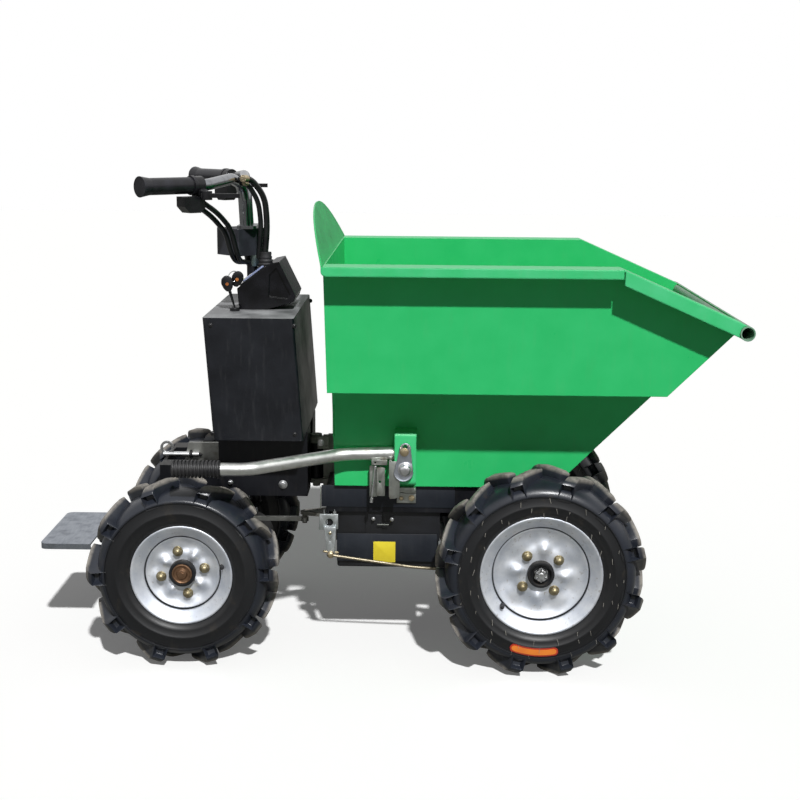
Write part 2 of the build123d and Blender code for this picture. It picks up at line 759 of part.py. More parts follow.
def make_rear_subframe():
    """Box under the cabinet, notched for the yoke, with the hinge knuckle and two rails to the rear."""
    z = (subframe_z, cabinet_z)
    body = block((subframe_rear_x, subframe_front_x), (-subframe_half, subframe_half), z)
    notch_x = subframe_front_x - subframe_notch
    body -= block((notch_x, subframe_front_x), (-subframe_notch_half, subframe_notch_half), z)
    body -= upright(column_x, 0, column_r + running_gap, z)
    ear_gap_z = (hinge_bottom_z + hinge_ear_t + 1, hinge_top_z - hinge_ear_t - 1)
    knuckle = upright(hinge_x, 0, hinge_ear_r, ear_gap_z)
    knuckle += block((notch_x, hinge_x), (-hinge_ear_r + 4, hinge_ear_r - 4), ear_gap_z)
    knuckle -= upright(hinge_x, 0, hinge_pin_r + running_gap, ear_gap_z)
    outer = carrier_half - tail_sheet + rail_w
    rails = block((rail_rear_x, subframe_rear_x), (carrier_half - tail_sheet, outer), rail_z)
    back_x = rail_rear_x - tail_sheet
    back = block((back_x, rail_rear_x), (-outer, outer), rail_z)
    drop = plate(
        [
            (back_x, subframe_z + 20),
            (rail_rear_x, subframe_z + 20),
            (rail_rear_x, step_z - 20),
            (step_hinge_x, step_hinge_z - 12),
            (step_hinge_x, step_hinge_z),
            (back_x, subframe_z),
        ],
        (carrier_half, carrier_half + carrier_t),
    )
    pin_half = carrier_half + carrier_t
    pin = cross_rod(step_hinge_x, step_hinge_z, step_pin_r, (-pin_half, pin_half))
    return body + knuckle + both(rails) + back + both(drop) + pin


def make_step():
    """Fold-up step plate with rounded rear corners, downturned edges and its hinge barrel."""
    x = (rear_x - step_reach, step_front_x)
    y = (-step_half, step_half)
    outer = block(x, y, (step_z - step_edge, step_z))
    corners = outer.edges().filter_by(Axis.Z).group_by(Axis.X)[0]
    outer = fillet(corners, step_corner_r)
    inner_half = step_half - step_sheet
    under_z = (step_z - step_edge - 1, step_z - step_sheet)
    inner = block((x[0] + step_sheet, x[1] + 1), (-inner_half, inner_half), under_z)
    inner = fillet(inner.edges().filter_by(Axis.Z).group_by(Axis.X)[0], step_corner_r - step_sheet)
    step = outer - inner
    span = (2 - carrier_half, carrier_half - 2)
    step += block((step_front_x, step_hinge_x), span, (step_z - step_sheet, step_z))
    step += cross_rod(step_hinge_x, step_hinge_z, step_barrel_r, span)
    return step - cross_rod(step_hinge_x, step_hinge_z, step_pin_r + running_gap, span)


def make_cabinet():
    """Battery and controller cabinet of folded sheet, leaning back a little, bored for the column."""
    foot = (cabinet_front_x - cabinet_len, cabinet_front_x)
    side = [
        (foot[0], cabinet_z),
        (foot[1], cabinet_z),
        (foot[1] - cabinet_lean, cabinet_top_z),
        (foot[0] - cabinet_lean, cabinet_top_z),
    ]
    box = plate(side, (-cabinet_half, cabinet_half))
    upright_edges = [e for e in box.edges() if abs(e.tangent_at(0).Z) > 0.9]
    box = fillet(upright_edges, cabinet_corner_r)
    return box - upright(column_x, 0, column_r + running_gap, (cabinet_z, cabinet_top_z))


def make_console_pod():
    """Wedge-shaped instrument housing on the cabinet, its display sloped to the driver."""
    wedge = [
        (pod_x - 53, cabinet_top_z),
        (pod_x - 57, cabinet_top_z + 42),
        (pod_x + 9, cabinet_top_z + 92),
        (pod_x + 27, cabinet_top_z + 96),
        (pod_x + 60, cabinet_top_z + 28),
        (pod_x + 56, cabinet_top_z + 16),
        (pod_x, cabinet_top_z),
    ]
    pod = plate(wedge, (-pod_half, pod_half))
    recess = [
        (pod_x + 6, cabinet_top_z + 26),
        (pod_x + 8, cabinet_top_z + 70),
        (pod_x + 22, cabinet_top_z + 84),
        (pod_x + 50, cabinet_top_z + 30),
        (pod_x + 44, cabinet_top_z + 22),
    ]
    pod -= both(plate(recess, (pod_half - 5, pod_half)))
    slope = Vector(66, 0, 50).normalized()
    normal = Vector(-slope.Z, 0, slope.X)
    centre = Vector(pod_x - 24, 0, cabinet_top_z + 67)
    glass = Plane(origin=centre, x_dir=slope, z_dir=normal)
    pod -= extrude(glass * RectangleRounded(58, 2 * pod_half - 24, 6), amount=-2)
    return pod - upright(column_x, 0, column_r + 6, (cabinet_top_z, cabinet_top_z + 120))


def make_key_switch():
    """Key in its switch on the cabinet top, leaning to the rear, with the spare key hung on it."""
    x, y = column_x - 32, -84
    barrel = upright(x, y, 10, (cabinet_top_z, cabinet_top_z + 7))
    blade = rod((x, y, cabinet_top_z + 2), (x - 9, y, cabinet_top_z + 40), 2.5)
    bow = Rot(90, 0, 0) * extrude(Ellipse(12, 17), amount=4, both=True)
    head = Pos(x - 14, y, cabinet_top_z + 54) * bow
    spare = Pos(x + 4, y + 12, cabinet_top_z + 62) * bow
    ring = rod((x - 8, y, cabinet_top_z + 60), (x + 2, y + 12, cabinet_top_z + 62), 2)
    return barrel + blade + head + ring + spare


def make_tow_bracket():
    """Tapered plate behind the rear section that carries the hitch pin."""
    x0, low, high = subframe_rear_x, rail_z[1] - 40, cabinet_z - 44
    tail = rail_rear_x + tow_tail_gap
    return plate([(tail, low), (tail + 18, high), (x0 - 12, high), (x0, low)], (-24, -18))


def make_tow_pin():
    """Hitch pin clipped beside the bracket, with its pull ring."""
    x0, z = rail_rear_x + tow_tail_gap, cabinet_z - 68
    y = -24 - tow_pin_r - touch_gap
    pin = rod((x0 - 34, y, z), (x0 + 40, y, z), tow_pin_r)
    loop = cross_rod(x0 - 26, z + 14, 14, (y - 2.5, y + 2.5)) - cross_rod(x0 - 26, z + 14, 9, (y - 3, y + 3))
    return pin + loop


# ---- Handlebar --------------------------------------------------------------------------------------
bar_tip = Vector(column_x - bar_tip_behind, bar_tip_y, bar_tip_z)
bar_inward = Vector(1, -1, 0).normalized()


def along_bar(run):
    """Point on the left swept end's centre line, so far inward from the tip."""
    return bar_tip + bar_inward * run


def make_steering_column():
    """Column through cabinet and subframe, with the drop arm and ball stud at its foot."""
    foot_z = arm_z + link_t
    column = upright(column_x, 0, column_r, (foot_z, riser_z))
    clamp_z = riser_z - box_h
    clamp = Pos(column_x, 0, clamp_z - 11) * Cone(column_r + 1, column_r + 6, 22)
    end = (column_x - arm_sweep, -arm_reach)
    arm = slab(
        [
            (column_x + 14, -8),
            (column_x + 8, 14),
            (column_x - 12, 12),
            (end[0] - link_w / 2 - 1, -arm_reach),
            (end[0], -arm_reach - link_w / 2 - 1),
            (end[0] + link_w / 2 + 1, -arm_reach),
        ],
        (foot_z - link_t, foot_z),
    )
    stud = upright(*end, stud_r, (arm_z - link_t - 14, arm_z + 2))
    return column + clamp + arm + stud


def make_handlebar():
    """Two bent bars, each from a swept grip end in and down to the head plate on the column."""
    leg_x = column_x - bar_leg_behind
    plate_z = (riser_z, riser_z + head_plate_t)
    route = [
        # x, y, height
        (bar_tip.X, bar_tip_y, bar_tip_z),
        (bar_tip.X + bar_sweep, bar_tip_y - bar_sweep, bar_tip_z),
        (leg_x - 16, bar_tip_y * 0.32, bar_tip_z + 8),
        (leg_x - 4, bar_leg_y, bar_tip_z - 6),
        (leg_x, bar_leg_y, plate_z[1] - 1),
    ]
    bar = bent_rod(route, [60, 60, 38], bar_r)
    plate_x = (leg_x - bar_r - 5, column_x + column_r + 2)
    head = block(plate_x, (-bar_leg_y - bar_r - 5, bar_leg_y + bar_r + 5), plate_z)
    head = fillet(head.edges().filter_by(Axis.Z), 8)
    return both(bar) + head


def make_grips():
    """Rubber grips on the swept ends, flared at the tip and collared at the inner end."""
    flare = Plane(origin=along_bar(-5), z_dir=bar_inward) * Cone(
        grip_flare_r, grip_r, 20, align=(Align.CENTER, Align.CENTER, Align.MIN)
    )
    grip = flare + rod(along_bar(15), along_bar(grip_len), grip_r)
    grip += rod(along_bar(grip_len - 7), along_bar(grip_len), grip_r + 2.5)
    return both(grip - rod(bar_tip, along_bar(grip_len), bar_r))


def make_control_perches():
    """Clamps inboard of the grips, each with its brake blade and its hanging throttle or switch block."""
    start = grip_len + 1
    clamp = rod(along_bar(start), along_bar(start + perch_len), perch_r)
    middle = along_bar(start + perch_len / 2)
    pivot = middle + bar_inward * 4 + Vector(1, 1, 0).normalized() * 22 - Vector(0, 0, 18)
    lug = rod(middle - Vector(0, 0, 8), pivot, 9) + upright(pivot.X, pivot.Y, 11, (pivot.Z - 8, pivot.Z + 8))
    blade = slab(
        [
            (pivot.X - 8, pivot.Y - 9),
            (pivot.X - 8, pivot.Y + 9),
            (pivot.X + blade_len, pivot.Y + 4),
            (pivot.X + blade_len, pivot.Y - 5),
        ],
        (pivot.Z - 4, pivot.Z + 4),
    )
    seat = Plane(origin=along_bar(start + perch_len - throttle_len), x_dir=bar_inward, z_dir=(-1, -1, 0))
    profile = [(0, -perch_r - 3), (throttle_len, -perch_r - 3), (throttle_len, 8 - throttle_drop)]
    profile += [(throttle_len - 10, -throttle_drop), (12, -throttle_drop), (0, 12 - throttle_drop)]
    body = extrude(seat * make_face(Polyline(*profile, close=True)), amount=13, both=True)
    neck = block((-7, 7), (-perch_len / 2, perch_len / 2), (-perch_r - 4, -perch_r + 4))
    neck = Pos(*middle) * Rot(0, 0, 45) * neck
    assembly = clamp + lug + blade + body + neck
    return both(assembly - rod(bar_tip, along_bar(start + 60), bar_r))


def make_junction_box():
    """Wiring box round the top of the column, set corner to the side, its collar under the bar."""
    x = column_x - box_behind
    z = (riser_z - box_h, riser_z)
    box = block((-box_w / 2, box_w / 2), (-box_w / 2, box_w / 2), z)
    box = Pos(x, 0, 0) * Rot(0, 0, 45) * fillet(box.edges().filter_by(Axis.Z), box_corner_r)
    return box - upright(column_x, 0, column_r + running_gap, z)


cable_routes = [
    # radius, then the route's points as x ahead of the column, y, z above the column's top
    (
        cable_r,
        [
            (-64, -204, 60),
            (-46, -150, 38),
            (-30, -88, 4),
            (-23, -62, -44),
            (-19, -42, -65),
            (-6.6, -16.2, -68),
        ],
    ),
    (
        cable_r,
        [
            (-74, -196, 52),
            (-57, -146, 30),
            (-41, -86, -4),
            (-34, -61, -48),
            (-28, -38, -66),
            (-12.4, -12.4, -68),
        ],
    ),
    (loom_r, [(-8.7, -98, 101.5), (8, -64, 100), (32, -44, 64), (36, -40, 8), (30, -39, -60)]),
    (cable_r, [(-9, -84, 92), (2, -60, 88), (19, -44, 56), (24, -40, 8), (18, -39, -58)]),
]


def make_control_cables():
    """Sheathed cables from the right-hand controls to the wiring box, and the tied loom that arches
    from the bar down to the instrument housing."""
    cables = []
    for radius, points in cable_routes:
        route = [(column_x + x, y, riser_z + z) for x, y, z in points]
        cables.append(bent_rod(route, soft_radii(route), radius))
    return Compound(children=cables)


def make_drag_link():
    """Rod from the drop arm to the front chassis arm, with an eye at each end."""
    z = (arm_z - link_t - 10, arm_z - link_t - 1)
    ends = [(column_x - arm_sweep, -arm_reach), (hinge_x - arm_sweep, -arm_reach)]
    link = block((ends[0][0], ends[1][0]), (-arm_reach - link_w / 4, -arm_reach + link_w / 4), z)
    for end in ends:
        link += upright(*end, link_w / 2, z)
    for end in ends:
        link -= upright(*end, stud_r + running_gap, z)
    return link


# ---- Write every node -------------------------------------------------------------------------------
os.makedirs("parts", exist_ok=True)
save("skip_tray", make_skip_tray())
save("skip_trough", make_skip_trough())
save("skip_rims", make_skip_rims())
save("lip_tube", make_lip_tube())
save("skip_hinge_ears", make_skip_ears())
save("lever_bracket", make_lever_bracket())
save("tip_lever_tube", make_lever_tube())
save("tip_lever_grip", make_lever_grip())
save("tip_lever_plate", make_lever_plate())

front_tyre = make_tyre(front_tyre_r, front_tyre_w, front_flange_r, front_lugs, front_facets)
rear_tyre = make_tyre(rear_tyre_r, rear_tyre_w, rear_flange_r, rear_lugs, rear_facets)
front_hub = make_hub(front_nut_turn, front_cap_r)
rear_hub = make_hub(rear_nut_turn, rear_cap_r)
wheels = [
    # end, axle x, half track, radius, tyre, rim, hub
    ("front", front_x, front_wheel_y, front_tyre_r, front_tyre, make_rim(front_flange_r), front_hub),
    ("rear", rear_x, rear_wheel_y, rear_tyre_r, rear_tyre, make_rim(rear_flange_r), rear_hub),
]
for end, axle_x, half_track, radius, tyre, rim, hub in wheels:
    for side, hand in zip(SIDES, ("right", "left")):
        for part, piece in (("tyre", tyre), ("rim", rim), ("hub", hub)):
            save(f"{end}_{hand}_{part}", place_wheel(piece, axle_x, half_track, radius, side))

save("front_chassis", make_front_chassis())
save("battery_box", make_battery_box())
save("hinge_yoke", make_hinge_yoke())
at_front = Pos(front_x, 0, front_tyre_r)
at_rear = Pos(rear_x, 0, rear_tyre_r)
front_axle = make_axle(front_wheel_y, deck_z - deck_sheet - front_tyre_r, 24, front_motor_at)
save("front_axle", at_front * (front_axle + make_brake_lug()))
save("front_motor", at_front * make_motor(front_motor_at))
save("latch_catch", make_latch_catch())
save("brake_relay", make_brake_relay())
save("brake_rod", make_brake_rod())
save("rear_subframe", make_rear_subframe())
save("rear_axle", at_rear * make_axle(rear_wheel_y, subframe_z - rear_tyre_r, 22, rear_motor_at))
save("rear_motor", at_rear * make_motor(rear_motor_at))
save("cabinet", make_cabinet())
save("console_pod", make_console_pod())
save("key_switch", make_key_switch())
save("tow_bracket", make_tow_bracket())
save("tow_pin", make_tow_pin())
save("step_plate", make_step())
save("steering_column", make_steering_column())
save("handlebar_tube", make_handlebar())
save("handlebar_grips", make_grips())
save("control_perches", make_control_perches())
save("junction_box", make_junction_box())
save("control_cables", make_control_cables())
save("drag_link", make_drag_link())
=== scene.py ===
from math import atan2, cos, hypot, pi, radians, sin
from random import Random

import bmesh
import bpy
from mathutils import Matrix, Vector


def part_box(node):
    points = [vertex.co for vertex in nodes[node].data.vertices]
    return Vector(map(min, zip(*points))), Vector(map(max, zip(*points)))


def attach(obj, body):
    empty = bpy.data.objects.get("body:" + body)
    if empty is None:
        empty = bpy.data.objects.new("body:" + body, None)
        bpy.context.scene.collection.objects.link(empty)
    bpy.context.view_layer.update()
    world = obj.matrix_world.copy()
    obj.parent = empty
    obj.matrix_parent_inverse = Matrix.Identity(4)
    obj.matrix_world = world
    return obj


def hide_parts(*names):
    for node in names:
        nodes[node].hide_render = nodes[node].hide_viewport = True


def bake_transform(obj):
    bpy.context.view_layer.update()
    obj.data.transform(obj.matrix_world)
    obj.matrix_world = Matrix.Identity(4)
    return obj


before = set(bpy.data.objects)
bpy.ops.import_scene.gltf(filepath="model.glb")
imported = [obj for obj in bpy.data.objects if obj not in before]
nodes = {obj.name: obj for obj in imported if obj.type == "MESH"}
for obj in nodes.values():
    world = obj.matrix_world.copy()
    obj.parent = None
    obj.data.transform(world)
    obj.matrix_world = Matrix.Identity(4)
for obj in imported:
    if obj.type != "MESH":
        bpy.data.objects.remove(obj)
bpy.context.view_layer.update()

scene = bpy.context.scene


# ==== Studio ====
# A white floor that runs out of sight and throws back a little light, a sun-like lamp high behind the
# viewer, and a white surround. The camera stands side on at a standing person's eye height.
def linear(code):
    """Linear RGBA from an sRGB hex code."""
    channels = [int(code[i:i + 2], 16) / 255 for i in (1, 3, 5)]
    return [c / 12.92 if c <= 0.04045 else ((c + 0.055) / 1.055) ** 2.4 for c in channels] + [1.0]


def add(tree, kind, sockets=None, **settings):
    """Add one shader node. sockets sets inputs by name or number, to a value or another node's output."""
    node = tree.nodes.new("ShaderNode" + kind)
    for name, value in settings.items():
        setattr(node, name, value)
    for key, value in (sockets or {}).items():
        if isinstance(value, bpy.types.NodeSocket):
            tree.links.new(value, node.inputs[key])
        else:
            node.inputs[key].default_value = value
    return node


def new_finish(name):
    """A material with an empty tree, and its Object coordinates, which are metres."""
    material = bpy.data.materials.new(name)
    material.use_nodes = True
    material.node_tree.nodes.clear()
    return material, material.node_tree, add(material.node_tree, "TexCoord").outputs["Object"]


def seen_rays(tree):
    """1 on rays that reach the viewer's eye straight or through glass, and the other rays' outputs."""
    ray = add(tree, "LightPath").outputs
    seen = add(tree, "Math", {0: ray["Is Camera Ray"], 1: ray["Is Transmission Ray"]}, use_clamp=True)
    return seen.outputs[0], ray


EYE = (0.0856, -2.7233, 1.0427)
HEADING, LOOK_DOWN, LEAN = 0.8, 11.5, 0.5           # degrees
LENS = 60.34
FLOOR_HALF = 14
FLOOR_GLOW = 0.10                   # lifts the floor to white where it is seen
SURROUND = 0.115                    # what the white surround lends to the light on the object
SKY_LOW, SKY_HIGH = 0.10, 0.85      # what glossy surfaces mirror: a dim skyline under a bright sky
SKYLINE, OPEN_SKY = 0.02, 0.20      # heights at which they begin and end
SUN_ENERGY, SUN_WIDTH = 3.5, 2
SUN_FROM = (0.25, -1.0, 1.07)

camera = bpy.data.objects.new("camera", bpy.data.cameras.new("camera"))
scene.collection.objects.link(camera)
camera.data.lens = LENS
aim = Matrix.Rotation(radians(HEADING), 4, "Z") @ Matrix.Rotation(radians(90 - LOOK_DOWN), 4, "X")
camera.matrix_world = Matrix.Translation(EYE) @ aim @ Matrix.Rotation(radians(LEAN), 4, "Z")
scene.camera = camera

ground = bmesh.new()
bmesh.ops.create_grid(ground, x_segments=1, y_segments=1, size=FLOOR_HALF)
floor = bpy.data.objects.new("floor", bpy.data.meshes.new("floor"))
ground.to_mesh(floor.data)
ground.free()
scene.collection.objects.link(floor)
white_paper, tree, place = new_finish("white_paper")
seen, ray = seen_rays(tree)
bounce, shown = linear("#8C8C88"), linear("#FDFDFC")
paper = add(tree, "Mix", {0: seen, 6: bounce, 7: shown}, data_type="RGBA").outputs[2]
paper = add(tree, "BsdfDiffuse", {"Color": paper})
lift = add(tree, "Math", {0: seen, 1: FLOOR_GLOW}, operation="MULTIPLY").outputs[0]
glow = add(tree, "Emission", {"Color": linear("#FFFFFF"), "Strength": lift})
paper = add(tree, "AddShader", {0: paper.outputs[0], 1: glow.outputs[0]})
add(tree, "OutputMaterial", {"Surface": paper.outputs[0]})
floor.data.materials.append(white_paper)

scene.world = bpy.data.worlds.new("studio")
scene.world.use_nodes = True
tree = scene.world.node_tree
tree.nodes.clear()
seen, ray = seen_rays(tree)
above = add(tree, "SeparateXYZ", {0: add(tree, "TexCoord").outputs["Generated"]}).outputs[2]
heights = {"Value": above, "From Min": SKYLINE, "From Max": OPEN_SKY, "To Min": SKY_LOW, "To Max": SKY_HIGH}
sky = add(tree, "MapRange", heights).outputs[0]
level = add(tree, "Mix", {0: ray["Is Glossy Ray"], 2: SURROUND, 3: sky}).outputs[0]
level = add(tree, "Mix", {0: seen, 2: level, 3: 1.0}).outputs[0]
white = add(tree, "Background", {"Color": linear("#FFFFFF"), "Strength": level})
add(tree, "OutputWorld", {"Surface": white.outputs[0]})

lamp = bpy.data.objects.new("sun", bpy.data.lights.new("sun", "SUN"))
scene.collection.objects.link(lamp)
lamp.data.energy = SUN_ENERGY
lamp.data.angle = radians(SUN_WIDTH)
lamp.rotation_euler = Vector(SUN_FROM).to_track_quat("Z", "Y").to_euler()
scene.view_settings.view_transform = "Standard"


# ==== Front chassis, hinge yoke and rear subframe ====
# Channels and cross plates of mild steel, welded, and painted in a satin black powder coat. Mud and
# dust settle on what faces up, and the coat is rubbed thin along the edges.
MM = 0.001


def noise(tree, place, size, detail=3.0, rough=0.55):
    """Noise whose blobs are about size across. Finishes and shapes are both given in mm."""
    return add(
        tree, "TexNoise", {"Vector": place, "Scale": 1 / (size * MM), "Detail": detail, "Roughness": rough}
    ).outputs[0]


def ramp(tree, value, low, high, start=0.0, end=1.0):
    """Rescale a value from low..high to start..end, held at both ends."""
    sockets = {"Value": value, "From Min": low, "From Max": high, "To Min": start, "To Max": end}
    return add(tree, "MapRange", sockets).outputs[0]


def mix(tree, share, first, second):
    """Blend two colours, each a hex code or another node's output."""
    first, second = (linear(c) if isinstance(c, str) else c for c in (first, second))
    return add(tree, "Mix", {0: share, 6: first, 7: second}, data_type="RGBA").outputs[2]


def times(tree, first, second, operation="MULTIPLY"):
    """Combine two numbers, by product unless told otherwise."""
    return add(tree, "Math", {0: first, 1: second}, operation=operation, use_clamp=True).outputs[0]


def facing_up(tree, low=0.5, high=0.95):
    """1 where the surface faces up, 0 where it is upright."""
    normal = add(tree, "NewGeometry").outputs["True Normal"]
    return ramp(tree, add(tree, "SeparateXYZ", {0: normal}).outputs["Z"], low, high)


def close(tree, colour, rough, height=None, depth=0.0, soft_edge=0.0, **sockets):
    """End a finish: a shader with its colour, roughness, relief, and other named settings."""
    colour = linear(colour) if isinstance(colour, str) else colour
    inputs = {"Base Color": colour, "Roughness": rough}
    inputs.update({name.replace("_", " "): value for name, value in sockets.items()})
    shader = add(tree, "BsdfPrincipled", inputs)
    normal = None
    if soft_edge:
        normal = add(tree, "Bevel", {"Radius": soft_edge * MM}, samples=4).outputs[0]
    if height is not None:
        bump = {"Height": height, "Distance": depth * MM, "Strength": 1.0}
        if normal:
            bump["Normal"] = normal
        normal = add(tree, "Bump", bump).outputs[0]
    if normal:
        tree.links.new(normal, shader.inputs["Normal"])
    add(tree, "OutputMaterial", {"Surface": shader.outputs[0]})


def painted_steel(
    name, coat, worn, dust_and_sheen, gloss, dust_and_sheen_share, peel, edge=0.8, shine=0.3, streaky=0.45
):
    """Paint over steel: orange peel 2.4 mm across, duller and paler patches, and a colour on what faces up:
    dust, and on the cabinet a painted sheen of the sky.
    """
    material, tree, place = new_finish(name)
    patches = noise(tree, place, 60, 5)
    grains = noise(tree, place, 2.4, 2)
    streaks = noise(tree, add(tree, "Mapping", {0: place, 3: (1, 1, 0.15)}).outputs[0], 9, 3)
    colour = mix(tree, ramp(tree, patches, 0.35, 0.75), coat, worn)
    # What faces up takes the dust colour, which on the cabinet is a painted sheen of the sky on its top.
    dust_and_sheen_mask = times(tree, facing_up(tree), ramp(tree, patches, 0.35, 0.7, 0.35, 1.0))
    dust_and_sheen_mask = times(tree, dust_and_sheen_mask, dust_and_sheen_share)
    splash = times(tree, ramp(tree, streaks, 0.55, 0.85), dust_and_sheen_share * streaky)
    dust_and_sheen_mask = times(tree, dust_and_sheen_mask, splash, "MAXIMUM")
    colour = mix(tree, dust_and_sheen_mask, colour, dust_and_sheen)
    rough = ramp(tree, patches, 0.3, 0.75, gloss, gloss + 0.16)
    rough = add(tree, "Mix", {0: dust_and_sheen_mask, 2: rough, 3: 0.8}).outputs[0]
    close(tree, colour, rough, grains, peel, soft_edge=edge, Specular_IOR_Level=shine)
    return material


black_powder = painted_steel(
    "black_powder_coat", coat="#0E0F13", worn="#17181D", dust_and_sheen="#4C4842", gloss=0.36, dust_and_sheen_share=0.35,
    peel=0.06,
)


def dress(node, material):
    """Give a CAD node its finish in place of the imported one."""
    mesh = nodes[node].data
    mesh.materials.clear()
    mesh.materials.append(material)


for node in ("front_chassis", "rear_subframe"):
    dress(node, black_powder)
worn_iron = painted_steel(
    "worn_grey_iron", coat="#8F8D87", worn="#A9A7A0", dust_and_sheen="#8D867C", gloss=0.5, dust_and_sheen_share=0.5, peel=0.15,
)


def join_turned(mesh, part, *places):
    """Add a finished part to another mesh once for each matrix."""
    part_mesh = bpy.data.meshes.new("part")
    for place in places:
        part.to_mesh(part_mesh)
        part_mesh.transform(place)
        mesh.from_mesh(part_mesh)
    part.free()
    bpy.data.meshes.remove(part_mesh)


def finish_piece(name, mesh, material, body, slot, replaced=(), sharp=32, merge=0.02 * MM):
    """Close a bmesh as a named piece: it rides on a body and stands for the CAD nodes that it replaces."""
    bmesh.ops.remove_doubles(mesh, verts=mesh.verts, dist=merge)
    bmesh.ops.recalc_face_normals(mesh, faces=mesh.faces)
    made = bpy.data.objects.new(name, bpy.data.meshes.new(name))
    mesh.to_mesh(made.data)
    mesh.free()
    made.data.materials.append(material)
    made.data.polygons.foreach_set("use_smooth", [True] * len(made.data.polygons))
    made.data.set_sharp_from_angle(angle=radians(sharp))
    scene.collection.objects.link(made)
    if body:
        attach(made, body)
    if replaced:
        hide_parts(*replaced)
    return made


# ==== Bolts ====
# Zinc-plated hex bolts with washers, M3 to M8, turned down on the outer faces of the chassis, the
# subframe and the brackets. A bolt's head is chamfered to a circle and its washer stands proud.
def plated_steel(name, bright, dull, stain, rough=0.28, grit=0.5):
    """Zinc over steel: spangle patches a few millimetres across, fine grit, and a little dull stain."""
    material, tree, place = new_finish(name)
    spangle = add(tree, "TexVoronoi", {"Vector": place, "Scale": 1 / (7 * MM)}, feature="F1").outputs["Color"]
    spangle = add(tree, "SeparateColor", {0: spangle}).outputs[0]
    cloud = noise(tree, place, 25, 5)
    fine = noise(tree, place, grit, 2)
    colour = mix(tree, times(tree, spangle, 0.35), bright, dull)
    colour = mix(tree, ramp(tree, cloud, 0.52, 0.72, 0.0, 0.7), colour, stain)
    cloudy = ramp(tree, cloud, 0.35, 0.7, rough, rough + 0.2)
    close(tree, colour, cloudy, fine, 0.012, soft_edge=0.4, Metallic=1.0)
    return material


bright_zinc = plated_steel("bright_zinc_plate", "#D9DADB", "#BFC2C6", "#8F8C86", rough=0.24)


WASHER = 1.6                # thickness


def bar_up(mesh, sides, low, high, radius, end_radius=None, place=Matrix()):
    """Add a capped bar or taper that stands up Z from low to high. Returns its vertices."""
    return bmesh.ops.create_cone(
        mesh, cap_ends=True, segments=sides, depth=(high - low) * MM, radius1=radius * MM,
        radius2=(radius if end_radius is None else end_radius) * MM,
        matrix=place @ Matrix.Translation((0, 0, (low + high) / 2 * MM)),
    )["verts"]


def crisp(mesh, angle):
    """Edges whose two faces meet at more than angle, in radians."""
    return [e for e in mesh.edges if len(e.link_faces) == 2 and e.calc_face_angle(0) > angle]


def soften(mesh, geom, width, segments=2, affect="EDGES", clamp=False):
    """Round edges or corners over."""
    bmesh.ops.bevel(
        mesh, geom=list(geom), offset=width * MM, segments=segments, profile=0.5, affect=affect,
        material=-1, clamp_overlap=clamp,
    )


def hex_bolt(across, head, washer_r):
    """A bolt's head and washer standing up along Z from the origin."""
    mesh = bmesh.new()
    bar_up(mesh, 24, 0, WASHER, washer_r)
    soften(mesh, crisp(mesh, 1), 0.35)
    top = bar_up(mesh, 6, WASHER, WASHER + head, across / 1.732)
    corners = [v for v in top if v.co.z > (WASHER + head * 0.6) * MM]
    soften(mesh, {e for v in corners for e in v.link_edges}, 0.7, 3)
    return mesh


def side_matrix(x, y, z, side=-1):
    """Place for a part modelled up Z, turned to face out to the machine's right, or its left."""
    turn = Vector((0, side, 0)).to_track_quat("Z", "Y").to_matrix().to_4x4()
    return Matrix.Translation(Vector((x, y, z)) * MM) @ turn


def box_mm(node):
    """A CAD node's low and high corners."""
    low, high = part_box(node)
    return low / MM, high / MM


# ==== Axles and motors ====
# Cast and fabricated axle housings with a motor and gear case each, painted black over the castings.
# Two bolted plates hold each axle under its frame.
black_iron = painted_steel(
    "black_painted_casting", coat="#17181A", worn="#202124", dust_and_sheen="#575048", gloss=0.46, dust_and_sheen_share=0.5,
    peel=0.12,
)
for end in ("front", "rear"):
    dress(f"{end}_axle", black_iron)
    dress(f"{end}_motor", black_iron)


# ==== Wheel hubs ====
# A black hub stands through the middle of each wheel. Its axle end carries a castle nut with a split
# pin at the front and a rust-stained pressed cap at the rear. Four yellow-passivated nuts hold the disc.
NUT_RING = 43.5             # the wheel nuts' pitch radius
NUT_TURN = {"front": 38, "rear": 12}     # first wheel nut above the level, degrees
HUB_FACE = 20               # wheel disc's face, out from the middle of the wheel
NOSE_R, NOSE = 26, 13


def revolve(profile, steps, upright=True, mesh=None):
    """Spin a profile of (along the axis, radius) points a full turn about Z, or else about Y."""
    mesh = mesh or bmesh.new()
    spots = [(r, 0, a) if upright else (0, a, r) for a, r in profile]
    ring = [mesh.verts.new(Vector(spot) * MM) for spot in spots]
    line = [mesh.edges.new(pair) for pair in zip(ring, ring[1:])]
    axis = (0, 0, 1) if upright else (0, 1, 0)
    bmesh.ops.spin(
        mesh, geom=ring + line, axis=axis, cent=(0, 0, 0), angle=2 * pi, steps=steps, use_merge=True
    )
    return mesh


def pull(mesh, faces, by):
    """Extrude faces and move what is new."""
    made = bmesh.ops.extrude_face_region(mesh, geom=list(faces))["geom"]
    verts = [v for v in made if isinstance(v, bmesh.types.BMVert)]
    bmesh.ops.translate(mesh, verts=verts, vec=Vector(by) * MM)


def on_wheel(mesh, end, hand):
    """Move a mesh modelled about the Y axis, outer side towards +Y, to its wheel."""
    low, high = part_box(f"{end}_{hand}_tyre")
    side = 1 if hand == "left" else -1
    bmesh.ops.scale(mesh, vec=(1, side, 1), verts=mesh.verts)
    bmesh.ops.translate(mesh, vec=(low + high) / 2, verts=mesh.verts)
    return mesh


def wheel_piece(end, hand, name, mesh, material, slot, replaced=(), **more):
    """Finish a piece that turns with a wheel. It may stand for the wheel's own CAD node."""
    finish_piece(
        f"{end}_{hand}_{name}", on_wheel(mesh, end, hand), material, f"{end}_{hand}_wheel", slot,
        [f"{end}_{hand}_{node}" for node in replaced], **more
    )


